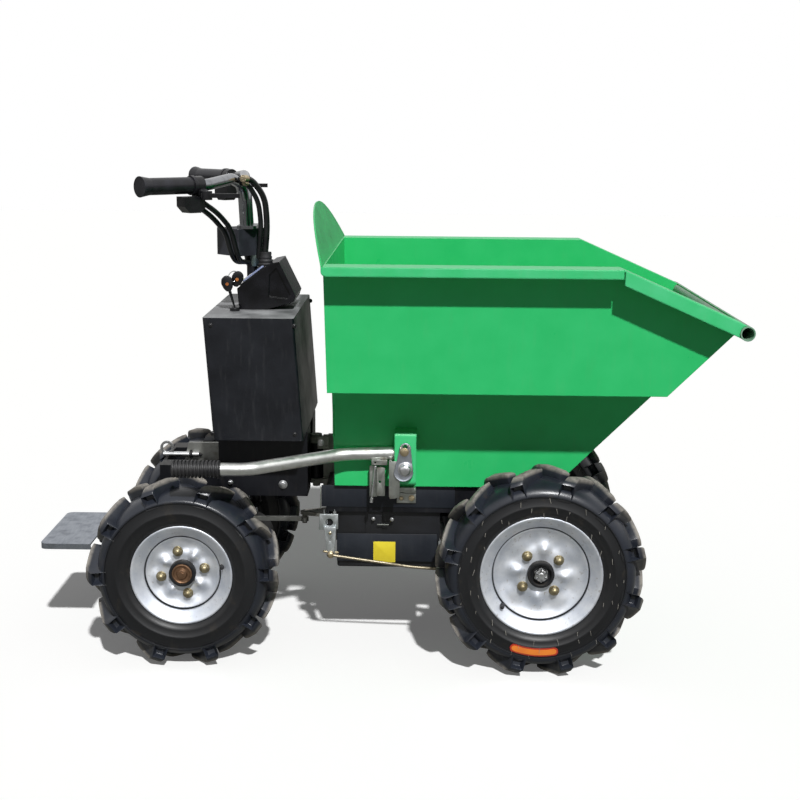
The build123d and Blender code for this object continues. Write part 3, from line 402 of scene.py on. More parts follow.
def polar(radius, degrees, y):
    """Point on a wheel: radius from the axle, degrees above the level towards the front, y outwards."""
    return Vector((radius * cos(radians(degrees)), y, radius * sin(radians(degrees)))) * MM


OUTWARD = Matrix.Rotation(-pi / 2, 4, "X")      # stands a part modelled up Z out along +Y


def wheel_nut():
    """A hex wheel nut up Z: skirt, six flats chamfered to a circle, domed top and the stud's end."""
    mesh = revolve([(0, 10.2), (1.6, 10.2), (2.6, 9.4), (2.6, 8)], 24)
    flats = bar_up(mesh, 6, 2.4, 8.8, 8.8, 8.4)
    soften(mesh, {e for v in flats if v.co.z > 7 * MM for e in v.link_edges}, 0.6)
    return revolve([(8.4, 6.6), (10.0, 5.8), (11.2, 4.2), (11.9, 2.2), (12.1, 0)], 16, mesh=mesh)


yellow_zinc = plated_steel("yellow_passivated_nuts", "#A59A7C", "#7D7355", "#54462F", rough=0.36)
rusty_steel = plated_steel("rust_stained_steel", "#8F7159", "#6E5340", "#33261E", rough=0.42)


def make_hub(end, hand):
    """The black nose with its sunk rim, what stands in its middle, and the four nuts."""
    top = HUB_FACE + NOSE
    well = top - 9
    nose = [
        (HUB_FACE - 5, NOSE_R), (top - 2, NOSE_R), (top - 0.6, NOSE_R - 0.6), (top, NOSE_R - 2),
        (top, NOSE_R - 5), (top - 1, NOSE_R - 6), (top - 8, NOSE_R - 6.5), (well, NOSE_R - 8), (well, 0),
    ]
    mesh = revolve(nose, 48, upright=False)
    revolve([(0, 0), (0, 44), (2, 46), (12, 46), (14, 44), (14, 0)], 48, upright=False, mesh=mesh)
    wheel_piece(end, hand, "hub_nose", mesh, black_iron, "hub_iron", ["hub"])
    mesh = bmesh.new()
    spots = [Matrix.Translation(polar(NUT_RING, NUT_TURN[end] + 90 * i, HUB_FACE)) for i in range(4)]
    turns = [OUTWARD @ Matrix.Rotation(0.3 + i, 4, "Z") for i in range(4)]
    join_turned(mesh, wheel_nut(), *[spot @ turn for spot, turn in zip(spots, turns)])
    wheel_piece(end, hand, "wheel_nuts", mesh, yellow_zinc, "zinc_plate")
    cap = bmesh.new()
    if end == "front":
        bar_up(cap, 6, 0, 7, 14.5)
        revolve([(7, 12), (12, 11.6), (12.6, 10.8), (12.6, 6.5), (7, 6.5)], 36, mesh=cap)
        crown = [f for f in cap.faces if f.calc_center_median().z > 11 * MM]
        slots = [f for f in crown if atan2(*f.calc_center_median().xy) * 36 / (2 * pi) % 6 < 1.2]
        pull(cap, slots, (0, 0, -3))
        revolve([(8, 6.2), (13.6, 6.2), (14.4, 5.2), (14.4, 0)], 24, mesh=cap)
        pin_place = Matrix.Translation((0, 0, 10.6 * MM)) @ Matrix.Rotation(pi / 2, 4, "X")
        bar_up(cap, 10, -13.5, 13.5, 1.2, place=pin_place)
    else:
        pressing = [
            (0, 20), (9, 20), (10.4, 19), (10.8, 17.4), (10, 16), (8.6, 15.2), (8.4, 11), (9.4, 10),
            (11.6, 9.2), (12.6, 8), (13, 0),
        ]
        revolve(pressing, 48, mesh=cap)
        bar_up(cap, 6, 12, 14, 5.5, 5)
    mesh = bmesh.new()
    join_turned(mesh, cap, Matrix.Translation((0, well * MM, 0)) @ OUTWARD)
    wheel_piece(end, hand, "axle_end", mesh, bright_zinc if end == "front" else rusty_steel, "zinc_plate")


# ==== Wheel rims ====
# Two steel pressings spot-welded and hot-dip galvanised: an outer ring with a rolled edge and, sunk in
# it, a dished disc whose hub face is stiffened by four swages between the nuts.
def wheel_radius(tree, place, axle):
    """Distance from a wheel's axle, in metres."""
    flat = {0: place, 1: (-axle.x, 0, -axle.z), 3: (1, 0, 1)}
    centred = add(tree, "Mapping", flat, vector_type="POINT").outputs[0]
    return add(tree, "VectorMath", {0: centred}, operation="LENGTH").outputs["Value"]


def wheel_zinc(end, axle, seam):
    """Galvanising on a spun pressing: draw marks 3 mm apart, a cloudy blue-white bloom, and a near-black
    ring along the seam between the two pressings."""
    material, tree, place = new_finish(f"galvanised_{end}_rim")
    radius = wheel_radius(tree, place, axle)
    lines = add(tree, "CombineXYZ", {0: radius}).outputs[0]
    draw = noise(tree, lines, 3, 3)
    cloud = noise(tree, place, 30, 5, 0.6)
    spots = noise(tree, place, 7, 3)
    colour = mix(tree, ramp(tree, cloud, 0.35, 0.7), "#DCDFE4", "#C3C9D3")
    colour = mix(tree, ramp(tree, spots, 0.62, 0.75, 0.0, 0.55), colour, "#8C8071")
    off_seam = add(tree, "Math", {0: radius, 1: seam}, operation="SUBTRACT").outputs[0]
    off_seam = add(tree, "Math", {0: off_seam}, operation="ABSOLUTE").outputs[0]
    colour = mix(tree, ramp(tree, off_seam, 1.7 * MM, 0.6 * MM), colour, "#1E2024")
    rough = ramp(tree, draw, 0.3, 0.7, 0.48, 0.62)
    relief = times(tree, draw, times(tree, cloud, 0.6), "ADD")
    close(tree, colour, rough, relief, 0.05, Metallic=0.72)
    return material


def make_rim(end, hand, ring_share):
    """One wheel: the section is spun round the Y axis and the hub face is swaged between its nuts."""
    low, high = box_mm(f"{end}_{hand}_rim")
    flange, half = (high.z - low.z) / 2, (high.y - low.y) / 2
    seam, deep = flange * ring_share, HUB_FACE + 2.5
    inner = seam - 8
    section = [
        (-half, flange - 2), (1 - half, flange), (3 - half, flange), (5 - half, flange - 5),
        (7 - half, flange - 9), (half - 9, flange - 9), (half - 4, flange - 5), (half - 2.4, flange - 0.4),
        (half - 1, flange), (half, flange - 1.2), (half - 0.2, flange - 3.4), (half - 2, flange - 6),
        (half - 13, seam + 3.6), (half - 15, seam + 1.6), (half - 17.6, seam + 0.8), (half - 20, seam + 0.5),
        (half - 20, seam - 1.2), (half - 18.4, seam - 2.4), (deep + 0.6, seam - 5),
    ]
    shelf = [
        (deep - 1.4, 1.0), (deep - 5.5, 0.86), (deep - 7, 0.74), (deep - 6.4, 0.66), (HUB_FACE - 2, 0.58),
        (HUB_FACE, 0.50), (HUB_FACE, 0.42), (HUB_FACE, 0.36),
    ]
    section += [(y, NOSE_R + 1 + (inner - NOSE_R) * (share - 0.28) / 0.72) for y, share in shelf]
    section += [
        (HUB_FACE, NOSE_R - 1), (HUB_FACE - 4, NOSE_R - 1), (deep - 9, inner * 0.5),
        (deep - 11, inner * 0.9), (half - 24, seam), (half - 22, flange - 12), (8 - half, flange - 12),
        (6 - half, flange - 8),
    ]
    mesh = revolve(section + section[:1], 128, upright=False)
    middle = NOSE_R + (inner - NOSE_R) * 0.40
    for v in mesh.verts:
        radius, degrees = hypot(v.co.x, v.co.z) / MM, atan2(v.co.z, v.co.x) * 180 / pi
        if v.co.y > 8 * MM and NOSE_R + 1 < radius < inner:
            turn = radians(4 * (degrees - NUT_TURN[end]))
            swage = max(0.0, -cos(turn)) ** 3
            pad = max(0.0, cos(turn)) ** 1.5
            fall = (radius - middle) / 12
            v.co.y += 8.5 * MM * swage * 2.72 ** (-fall * fall)
            fall = (radius - middle * 1.35) / 11
            v.co.y += 4.5 * MM * pad * 2.72 ** (-fall * fall)
    wheel_piece(end, hand, "pressed_wheel", mesh, rim_zinc[end], "wheel_zinc", ["rim"], sharp=50)


def make_valve(end, hand, radius, degrees):
    """The tube's rubber valve with its cap, through the rim's slot."""
    stem = bmesh.new()
    bar_up(stem, 20, 0, 8, 5.6, 4.4)
    bar_up(stem, 20, 8, 14, 4, 3.6)
    mesh = bmesh.new()
    join_turned(mesh, stem, Matrix.Translation(polar(radius, degrees, 26)) @ OUTWARD)
    soften(mesh, crisp(mesh, 0.9), 0.8)
    wheel_piece(end, hand, "valve", mesh, soft_rubber, "tyre_rubber")


# ==== Tyres ====
# Four tubed tyres of black moulded rubber: a rounded carcass with staggered chevron lugs that turn
# down the shoulders. They leave the mould with a parting ridge, and the front pair with vent whiskers.
LUG_H = 20


def moulded_rubber(name, axle, tyre_r, bead_r):
    """Tyre rubber: blue-grey on the shoulders as a painted sheen of the sky, near-black rough sidewalls,
    tan dust on the lug tips and brown dust in patches. Its grain is 1.6 mm. The radii are in metres."""
    material, tree, place = new_finish(name)
    radius = wheel_radius(tree, place, axle)
    cloud = noise(tree, place, 45, 5, 0.6)
    smear = noise(tree, place, 14, 4, 0.6)
    grain = noise(tree, place, 1.6, 2)
    shoulder = ramp(tree, radius, tyre_r * 0.78, tyre_r * 0.81)
    # The blue-grey on the shoulders is a painted sheen of the sky; it is also glossier than the walls.
    painted_sheen = times(tree, shoulder, ramp(tree, cloud, 0.25, 0.6, 0.5, 1))
    colour = mix(tree, painted_sheen, "#0F1013", "#262A33")
    low_wall = times(tree, ramp(tree, radius, bead_r + 22 * MM, bead_r), ramp(tree, smear, 0.4, 0.7))
    colour = mix(tree, times(tree, low_wall, 0.3), colour, "#2B2926")
    tips = ramp(tree, radius, tyre_r - 9 * MM, tyre_r - 3 * MM)
    tips = times(tree, tips, ramp(tree, smear, 0.3, 0.55, 0.35, 1))
    tips = times(tree, tips, 0.75)
    colour = mix(tree, tips, colour, "#A39D94")
    mud = times(tree, ramp(tree, cloud, 0.58, 0.75), ramp(tree, smear, 0.35, 0.6))
    colour = mix(tree, times(tree, mud, 0.3), colour, "#5A5040")
    rough = add(tree, "Mix", {0: painted_sheen, 2: 0.46, 3: 0.30}).outputs[0]
    rough = add(tree, "Mix", {0: tips, 2: rough, 3: 0.85}).outputs[0]
    close(tree, colour, rough, grain, 0.15, Specular_IOR_Level=0.5)
    return material


def along(value, stops):
    """Straight-line reading of a table of (place, value) stops."""
    for (a, low), (b, high) in zip(stops, stops[1:]):
        if value <= b:
            return low + (high - low) * max(0.0, (value - a) / (b - a))
    return stops[-1][1]


def tyre_lug(tyre_r, tyre_w):
    """One left-hand lug about the Y axis: an oblique bar from the middle of the tread to the shoulder,
    where it turns down the sidewall and ends in a pocketed cheek."""
    mesh = bmesh.new()
    bmesh.ops.create_cube(mesh, size=1)
    length = [e for e in mesh.edges if abs(e.verts[0].co.y - e.verts[1].co.y) > 0.5]
    bmesh.ops.subdivide_edges(mesh, edges=length, cuts=8, use_grid_fill=True)
    crown_r, reach = tyre_r - LUG_H, tyre_w * 0.42
    middle = [(0, reach * 0.5), (0.70, -reach * 0.45), (1, -reach * 0.62)]
    across = [(0, -4), (0.70, tyre_w * 0.36), (0.88, tyre_w * 0.46), (1, tyre_w * 0.5)]
    width = [(0, 16), (0.3, 18), (0.70, 22), (1, 27)]
    top = [(0, tyre_r - 2), (0.12, tyre_r), (0.70, tyre_r - 1), (1, tyre_r - 15)]
    root = [(0, crown_r - 5), (0.6, crown_r - 8), (0.88, crown_r - 20), (1, tyre_r * 0.765)]
    for v in mesh.verts:
        run, side, high = v.co.y + 0.5, v.co.x, v.co.z > 0
        swing = (along(run, middle) + side * along(run, width) * (1.0 if high else 1.3)) / tyre_r
        radius = along(run, top if high else root)
        y = along(run, across) - (0 if high or run < 0.95 else 2.5)
        v.co = Vector((radius * sin(swing), y, radius * cos(swing))) * MM
    cheek = max(mesh.faces, key=lambda f: f.calc_center_median().y)
    bmesh.ops.inset_region(mesh, faces=[cheek], thickness=4.5 * MM, depth=0)
    bmesh.ops.translate(mesh, verts=cheek.verts, vec=(0, -13 * MM, 0))
    soften(mesh, crisp(mesh, 0.5), 0.9, clamp=True)
    return mesh


def tyre_section(tyre_r, tyre_w, bead_r):
    """Half of the carcass from the middle of the tread to the bead, as (y, radius)."""
    half_w, crown_r = tyre_w / 2, tyre_r - LUG_H
    step_r = tyre_r * 0.79
    waist_r = (step_r + bead_r) / 2
    section = [
        # share of the half width, radius
        (0, crown_r + 1), (0.34, crown_r), (0.60, crown_r - 3), (0.79, crown_r - 8), (0.90, crown_r - 14),
        (0.945, step_r + 3), (0.95, step_r + 1), (0.975, step_r + 0.5), (0.97, step_r - 0.7),
        (0.925, step_r - 1.5), (0.935, waist_r + 4), (0.945, waist_r + 3), (0.945, waist_r),
        (0.93, waist_r - 1), (0.91, bead_r + 12), (0.90, bead_r + 9), (0.86, bead_r + 6),
        (0.80, bead_r + 2), (0.70, bead_r - 1),
    ]
    return [(half_w * share, radius) for share, radius in section]


def make_tyre(end, hand, lug_count, lug_phase):
    """One tyre, a carcass with both rows of lugs. Returns its radius, width and bead radius."""
    low, high = box_mm(f"{end}_{hand}_tyre")
    tyre_r, tyre_w = (high.z - low.z) / 2, high.y - low.y
    low, high = box_mm(f"{end}_{hand}_rim")
    bead_r = (high.z - low.z) / 2
    half = tyre_section(tyre_r, tyre_w, bead_r)
    section = [(-y, r) for y, r in reversed(half[1:])] + half
    mesh = revolve(section + section[:1], 144, upright=False)
    pitch = 2 * pi / lug_count
    places = []
    for flip, phase in ((1, lug_phase), (-1, lug_phase + pitch / 2)):
        turns = [Matrix.Rotation(phase + pitch * i, 4, "Y") for i in range(lug_count)]
        places += [turn @ Matrix.Diagonal((1, flip, 1, 1)) for turn in turns]
    join_turned(mesh, tyre_lug(tyre_r, tyre_w), *places)
    wheel_piece(end, hand, "lugged_tyre", mesh, tyre_rubber[end], "tyre_rubber", ["tyre"], sharp=40)
    return tyre_r, tyre_w, bead_r


def make_whiskers(end, hand, tyre_r, tyre_w, bead_r, lot):
    """Thin vent hairs of rubber on both sidewalls, bent over and hanging, no two alike."""
    mesh = bmesh.new()
    step_r = tyre_r * 0.79
    for radius, count in ((bead_r + 9, 15), ((bead_r + step_r) / 2, 17), (step_r - 3, 16)):
        for side in (1, -1):
            for i in range(count):
                tall = lot.uniform(6, 13)
                degrees = 360 * (i + lot.uniform(-0.35, 0.35)) / count
                root = polar(radius + lot.uniform(-3, 3), degrees, side * tyre_w * 0.465)
                hang = Vector((lot.uniform(-0.35, 0.35), side * lot.uniform(0.25, 0.6), -1))
                turn = hang.to_track_quat("Z", "Y").to_matrix().to_4x4()
                bar_up(mesh, 5, 0, tall, 0.6, 0.3, Matrix.Translation(root) @ turn)
    wheel_piece(end, hand, "vent_whiskers", mesh, dusty_hair, "tyre_rubber")


def plain_finish(
    name, colour, other, rough, grain=1.5, depth=0.05, share=1.0, cloud=30, **more
):
    """Moulded rubber or plastic: two close tones in soft patches, a fine moulded grain, no metal."""
    material, tree, place = new_finish(name)
    patches = noise(tree, place, cloud, 4)
    fine = noise(tree, place, grain, 2)
    colour = mix(tree, ramp(tree, patches, 0.4, 0.7, 0.0, share), colour, other)
    cloudy = ramp(tree, patches, 0.3, 0.7, rough - 0.05, rough + 0.08)
    close(tree, colour, cloudy, fine, depth, **more)
    return material


soft_rubber = plain_finish("black_valve_rubber", "#141415", "#26262A", 0.55)
dusty_hair = plain_finish("dusty_rubber_hair", "#98948C", "#6A6762", 0.7)

wheels = [
    # end, lugs in a row, turn of the first lug, ring's inner edge, valve's radius and angle
    ("front", 12, radians(21.2), 0.79, 97, 221),
    ("rear", 10, radians(24.0), 0.745, 80, 11),
]
tyre_rubber, rim_zinc = {}, {}
for end, lug_count, lug_phase, ring_share, valve_r, valve_at in wheels:
    low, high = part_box(f"{end}_right_tyre")
    axle = (low + high) / 2
    low_rim, high_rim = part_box(f"{end}_right_rim")
    rim_r = (high_rim.z - low_rim.z) / 2
    tyre_rubber[end] = moulded_rubber(f"moulded_{end}_tyre_rubber", axle, high.z / 2, rim_r)
    rim_zinc[end] = wheel_zinc(end, axle, rim_r * ring_share)
    for hand in ("right", "left"):
        make_hub(end, hand)
        make_rim(end, hand, ring_share)
        make_valve(end, hand, valve_r, valve_at)
        sizes = make_tyre(end, hand, lug_count, lug_phase)
        if end == "front":
            make_whiskers(end, hand, *sizes, Random(lug_count + len(hand)))

# A blank orange patch with a red border, vulcanised to the lower sidewall of the right front tyre.
PATCH_R = 149
low, high = box_mm("front_right_tyre")
wall_y = (high.y - low.y) / 2 * 0.955
patch_layers = [
    # name, finish, half width, height, first and last degree
    ("patch_border", plain_finish("red_rubber_border", "#B5301F", "#9A3A2A", 0.5), 8, 0.3, 247.5, 283.5),
    ("patch_field", plain_finish("orange_rubber_patch", "#E9862E", "#D9702B", 0.5), 5.4, 0.9, 248.7, 282.3),
]
for name, material, half, lift, first, last in patch_layers:
    patch = bmesh.new()
    bmesh.ops.create_grid(patch, x_segments=28, y_segments=2, size=1)
    for v in patch.verts:
        degrees = first + (last - first) * (v.co.x + 1) / 2
        pinch = (1 - max(0.0, abs(v.co.x) - 0.86) ** 2 * 45) ** 0.5
        v.co = polar(PATCH_R + v.co.y * pinch * half, degrees, wall_y + lift)
    pull(patch, patch.faces, (0, -1.5, 0))
    finish_piece(name, on_wheel(patch, "front", "right"), material, "front_right_wheel", "tyre_rubber")


# ==== Battery box, its bolts and the blank label ====
# A textured black plastic box hung under the deck, screwed through its flange. A yellow plate, left
# blank, is stuck on its right side.
dress("battery_box", plain_finish(
    "textured_black_polypropylene", "#0C0D10", "#171920", 0.5, grain=2, depth=0.25, cloud=90,
))


def slab(points, corner, by):
    """A flat face through (x, y, z) points, rounded at its corners and extruded."""
    mesh = bmesh.new()
    mesh.faces.new([mesh.verts.new(Vector(point) * MM) for point in points])
    soften(mesh, mesh.verts, corner, 6, "VERTICES")
    pull(mesh, mesh.faces, by)
    bmesh.ops.recalc_face_normals(mesh, faces=mesh.faces)
    return mesh


def placed(mesh, matrix):
    """Move a whole mesh."""
    bmesh.ops.transform(mesh, matrix=matrix, verts=mesh.verts)
    return mesh


side_y = box_mm("battery_box")[0].y
yellow_film = plain_finish("yellow_vinyl_label", "#EBD83A", "#E2CB2B", 0.42, grain=3, depth=0.01)
label = slab([(x, side_y - 0.8, z) for x, z in ((-1, 188), (43, 188), (43, 231), (-1, 231))], 2, (0, -0.6, 0))
soften(label, crisp(label, 1.2), 0.15)
finish_piece("blank_yellow_label", label, yellow_film, "front_frame", "battery_plastic")

rail_y = box_mm("front_chassis")[0].y
fixings = {
    # x, y, z, across flats, head height, washer radius; side it faces
    "front_frame": [
        (-1, rail_y, 280, 5.5, 2, 3.8, -1), (36, rail_y, 279, 5.5, 2, 3.8, -1), (-112, -64, 411, 9, 4, 7, -1),
    ],
    "rear_frame": [
        (-292, -105, 336, 8, 4, 5.5, -1), (-186, -105, 333, 11, 5, 9, -1),
        (-292, 105, 336, 8, 4, 5.5, 1), (-186, 105, 333, 11, 5, 9, 1),
    ],
}
for body, rows in fixings.items():
    bolts = bmesh.new()
    for x, y, z, across, head, washer_r, side in rows:
        join_turned(bolts, hex_bolt(across, head, washer_r), side_matrix(x, y, z, side))
    finish_piece(f"{body}_bolts", bolts, bright_zinc, body, "zinc_plate", sharp=25)


# ==== Latch, guide, brake relay and rod ====
# Folded and turned steel, zinc plated: the bolted catch that holds the skip down, the channel and
# spring rod beside it, the brake relay lever at the chassis corner and its thin rod to the front axle.
def arc_points(x, z, radius, start, end, steps=12):
    """Points of an arc in the side view, from start to end in degrees."""
    turns = [radians(start + (end - start) * i / steps) for i in range(steps + 1)]
    return [(x + radius * cos(turn), z + radius * sin(turn)) for turn in turns]


def box_outline(x, z):
    """Corners of a rectangle from (low, high) pairs."""
    return [(x[0], z[0]), (x[1], z[0]), (x[1], z[1]), (x[0], z[1])]


def pierced_plate(outline, thickness, edge=0.4, holes=()):
    """A plate with its face at y 0 and its back at +thickness, drilled with (x, z, radius) holes."""
    mesh = bmesh.new()
    loop = [mesh.verts.new((x * MM, 0, z * MM)) for x, z in outline]
    edges = [mesh.edges.new(pair) for pair in zip(loop, loop[1:] + loop[:1])]
    for x, z, radius in holes:
        ring = bmesh.ops.create_circle(
            mesh, segments=24, radius=radius * MM,
            matrix=Matrix.Translation((x * MM, 0, z * MM)) @ Matrix.Rotation(pi / 2, 4, "X"),
        )["verts"]
        edges += list({e for v in ring for e in v.link_edges})
    bmesh.ops.triangle_fill(mesh, use_beauty=True, edges=edges, normal=(0, -1, 0))
    pull(mesh, mesh.faces, (0, thickness, 0))
    bmesh.ops.recalc_face_normals(mesh, faces=mesh.faces)
    soften(mesh, crisp(mesh, 1.2), edge)
    return mesh


def add_plate(mesh, face_y, outline, thickness, edge=0.4, holes=()):
    """Add a pierced plate with its face at face_y."""
    plate = pierced_plate(outline, thickness, edge, holes)
    join_turned(mesh, plate, Matrix.Translation((0, face_y * MM, 0)))


def rod_between(mesh, start, end, radius, sides=16, end_radius=None):
    """Add a round bar, or a taper, from one point to another."""
    run = Vector(end) - Vector(start)
    turn = run.to_track_quat("Z", "Y").to_matrix().to_4x4()
    bar_up(mesh, sides, 0, run.length, radius, end_radius, Matrix.Translation(Vector(start) * MM) @ turn)


dull_zinc = plated_steel("dull_zinc_plate", "#A9ACA6", "#8B8F8D", "#6E675C", rough=0.38)
brass_bolt = plated_steel("yellow_plated_bolts", "#CDBD9C", "#A8967A", "#5E5140", rough=0.3)
catch = bmesh.new()
add_plate(catch, rail_y - 5, box_outline((45, 83), (314, 335)), 5, 0.8, [(54.2, 323.5, 4)])
tab = [(50.8, 340)] + arc_points(78, 345.2, 5.2, -90, 90) + [(50.8, 350.4)]
add_plate(catch, rail_y - 21, tab, 20, 1.2)
add_plate(catch, rail_y - 5, box_outline((60, 83), (333, 346)), 4)
guide = [(5.8, 337), (22.5, 337), (22.5, 393), (17.5, 396), (5.8, 396)]
add_plate(catch, -197.5, guide, 3, 0.8, [(12.5, 365.5, 2.4)])
add_plate(catch, -189.5, box_outline((-8, 7), (333, 396)), 3, 1.2)
add_plate(catch, -194.5, box_outline((19.5, 22.5), (337, 346)), 194.5 + rail_y)
finish_piece("catch_and_guide", catch, dull_zinc, "front_frame", "zinc_plate", ("latch_catch",), sharp=40)

catch_bolts = bmesh.new()
for x, z, across, face_y in ((54.2, 323.5, 6, rail_y - 4), (74.5, 324.8, 10, rail_y - 5)):
    join_turned(catch_bolts, hex_bolt(across, 4, across * 0.62), side_matrix(x, face_y, z))
finish_piece("catch_bolts", catch_bolts, brass_bolt, "front_frame", "zinc_plate", sharp=25)

spring_rod = bmesh.new()
rod_between(spring_rod, (3.6, -200.5, 398), (-3.4, -200.5, 329), 2.2)
rod_between(spring_rod, (-3.0, -200.5, 334), (-3.8, -200.5, 325), 3.6)
rod_between(spring_rod, (3.4, -200.5, 392), (3.9, -200.5, 399), 3.4)
rod_between(spring_rod, (-3.4, -200.5, 329.5), (-3.4, -187.5, 329.5), 1.8)
finish_piece("guide_spring_rod", spring_rod, bright_zinc, "front_frame", "zinc_plate", sharp=40)

relay_zinc = plated_steel("spangled_zinc_plate", "#C6CBCC", "#A3A9AD", "#84817A", rough=0.36)
relay = bmesh.new()
bracket = [(-109, 258), (-70.5, 260), (-70.5, 291), (-107.5, 291)]
add_plate(relay, rail_y - 10, bracket, 5, 1, [(-88, 274, 7.4)])
lever = [(-98.5, 266), (-93.0, 215.5)] + arc_points(-85.2, 209.5, 8, 150, 390) + [(-74.2, 266)]
add_plate(relay, rail_y - 16, lever, 4, 0.8, [(-86.2, 239.5, 1.9)])
for x in (-98.5, -77.5):
    rod_between(relay, (x, rail_y - 8, 288), (x, rail_y - 8, 300), 1.1)
add_plate(relay, rail_y - 6, box_outline((-103, -92), (262, 288)), 8)
finish_piece("relay_lever", relay, relay_zinc, "front_frame", "zinc_plate", ("brake_relay",), sharp=40)
# The bush's shallow cup is near-black, a painted shade standing for a deep bore.
painted_bore_shade = plain_finish("bore_painted_shade", "#08080A", "#101012", 0.5)
bush = revolve([(0, 0), (0, 9.4), (3, 9.4), (4.2, 8.4), (4.8, 7.3), (4.8, 6.2), (1, 5.6), (1, 0)], 32)
placed(bush, side_matrix(-88, rail_y - 2, 274))
finish_piece("relay_bush", bush, painted_bore_shade, "front_frame", "zinc_plate")
relay_pins = bmesh.new()
for x, z, r, tall in ((-85.1, 209.5, 7, 6), (-86.2, 253.5, 3, 2)):
    pin = revolve([(0, r), (tall * 0.5, r), (tall * 0.85, r * 0.75), (tall, r * 0.35), (tall, 0)], 28)
    join_turned(relay_pins, pin, side_matrix(x, rail_y - 16, z))
rod_between(relay_pins, (-100, rail_y - 17, 216.5), (-92, rail_y - 15, 214.5), 2.2)
rod_between(relay_pins, (-76, rail_y - 20, 215.5), (-69, rail_y - 21, 215.5), 2.6)
finish_piece("relay_pins", relay_pins, brass_bolt, "front_frame", "zinc_plate", sharp=40)
dress("brake_rod", plated_steel("golden_rod_plate", "#9C937F", "#7A705F", "#564D42", rough=0.45))

# A folded skirt along the rail and a panel like it on the battery box, in a lighter blue-black paint
# that is painted light for their sunlit bands; bare metal along the pan's end, and the worn straps that
# stiffen the yoke.
skirt = bmesh.new()
add_plate(skirt, rail_y - 1.6, box_outline((-104, 160), (304, 348)), 2, 0.6)
add_plate(skirt, side_y - 1, box_outline((-74, 126), (190, 247)), 2, 0.6)
# The lighter paint is painted light, where sun falls on the rail and the lower box side.
lit_band_paint = painted_steel(
    "blue_black_painted_light_band", coat="#1D2027", worn="#272B32", dust_and_sheen="#56534E", gloss=0.4, dust_and_sheen_share=0.3,
    peel=0.06,
)
finish_piece("rail_skirt", skirt, lit_band_paint, "front_frame", "black_powder", sharp=40)
edge_trim = bmesh.new()
add_plate(edge_trim, rail_y - 2.4, [(-106.9, 300), (-104.5, 301.5), (-104.5, 344.5), (-106.9, 346)], 3, 0.5)
buckle = arc_points(7.5, 268, 1, 90, 270, 6) + arc_points(28.5, 268, 1, -90, 90, 6)
add_plate(edge_trim, rail_y - 1.4, buckle, 2, 0.3)
yoke_strap = bmesh.new()
add_plate(yoke_strap, -44.5, box_outline((-108.5, -86.5), (322, 423.5)), 4, 0.6)
add_plate(yoke_strap, -64, box_outline((-119, -96), (398, 423.5)), 4, holes=[(-101, 404, 2)])
add_plate(yoke_strap, -62, box_outline((-108, -92), (318, 334)), 20, 0.8)
finish_piece("yoke_straps", yoke_strap, worn_iron, "front_frame", "black_powder", sharp=40)
dress("hinge_yoke", worn_iron)
finish_piece("bare_edges", edge_trim, dull_zinc, "front_frame", "zinc_plate")


# ==== Skip ====
# Folded and welded steel sheet in a bright green gloss enamel; a paler copy of it on the rolled hems and
# the lever bracket is a painted highlight on their rounded tops. Weld seams run under the tray and down
# the trough's corners, and the lip tube is scuffed where loads slide out.
green_enamel = painted_steel(
    "green_gloss_enamel", coat="#2DC06C", worn="#34C673", dust_and_sheen="#7F9A78", gloss=0.27, dust_and_sheen_share=0.14,
    peel=0.05, edge=1.6, shine=0.35,
)
lip_enamel = painted_steel(
    "scuffed_green_enamel", coat="#6A9A7C", worn="#93AC9D", dust_and_sheen="#A3A79A", gloss=0.45, dust_and_sheen_share=0.6,
    peel=0.08, edge=1.0,
)
for node in ("skip_tray", "skip_trough", "skip_hinge_ears"):
    dress(node, green_enamel)
# A paler copy of the enamel: a painted highlight for the rounded hems and the bracket's top bend.
hem_highlight_enamel = painted_steel(
    "green_enamel_painted_hem_highlight", coat="#3AC97A", worn="#52D18D", dust_and_sheen="#8AA285", gloss=0.3, dust_and_sheen_share=0.2,
    peel=0.05, edge=4, shine=0.5,
)
for node in ("skip_rims", "lever_bracket"):
    dress(node, hem_highlight_enamel)
dress("lip_tube", lip_enamel)


def weld_bead(mesh, start, end, radius, pitch=4):
    """A run of overlapping scales along a seam, one every pitch."""
    run = Vector(end) - Vector(start)
    turn = run.to_track_quat("Z", "Y").to_matrix().to_4x4()
    for i in range(max(2, int(run.length / pitch))):
        spot = Vector(start) + run.normalized() * pitch * (i + 0.5)
        bmesh.ops.create_uvsphere(
            mesh, u_segments=8, v_segments=5, radius=radius * MM,
            matrix=Matrix.Translation(spot * MM) @ turn @ Matrix.Diagonal((1, 1, 0.95, 1)),
        )


crease = box_mm("skip_tray")[0].z - 1
trough_low, trough_high = box_mm("skip_trough")
strap_low, strap_high = box_mm("lever_bracket")
welds = bmesh.new()
for side in (-1, 1):
    wall = side * (trough_high.y + 0.3)
    weld_bead(welds, (trough_low.x + 6, wall, crease), (500, wall, crease), 2.2, 5)
    corner = (trough_low.x + 4, side * (trough_high.y - 0.5))
    weld_bead(welds, (*corner, 448), (*corner, 512), 2.4)
    for x in (360, 371):
        weld_bead(welds, (x, side * 118, 351), (x + 0.1, side * 98, 351), 1.6, 3)
for x in (strap_low.x + 1, strap_high.x - 1):
    seam_y = trough_low.y - 0.4
    weld_bead(welds, (x, seam_y, strap_high.z - 26), (x, seam_y, strap_high.z - 1), 1.6, 3)
finish_piece("skip_welds", welds, green_enamel, "skip", "green_enamel", sharp=60, merge=0.001 * MM)


# ==== Tip lever ====
# A bent steel tube in satin zinc with a ribbed rubber grip, pinned through a pear-shaped plate and an
# L-shaped hook plate. A golden bolt holds the plate's slot and a domed boss caps the pivot.
satin_zinc = plated_steel("satin_zinc_tube", "#DCDDDA", "#C4C6C4", "#A49E90", rough=0.32, grit=0.8)
dress("tip_lever_tube", satin_zinc)

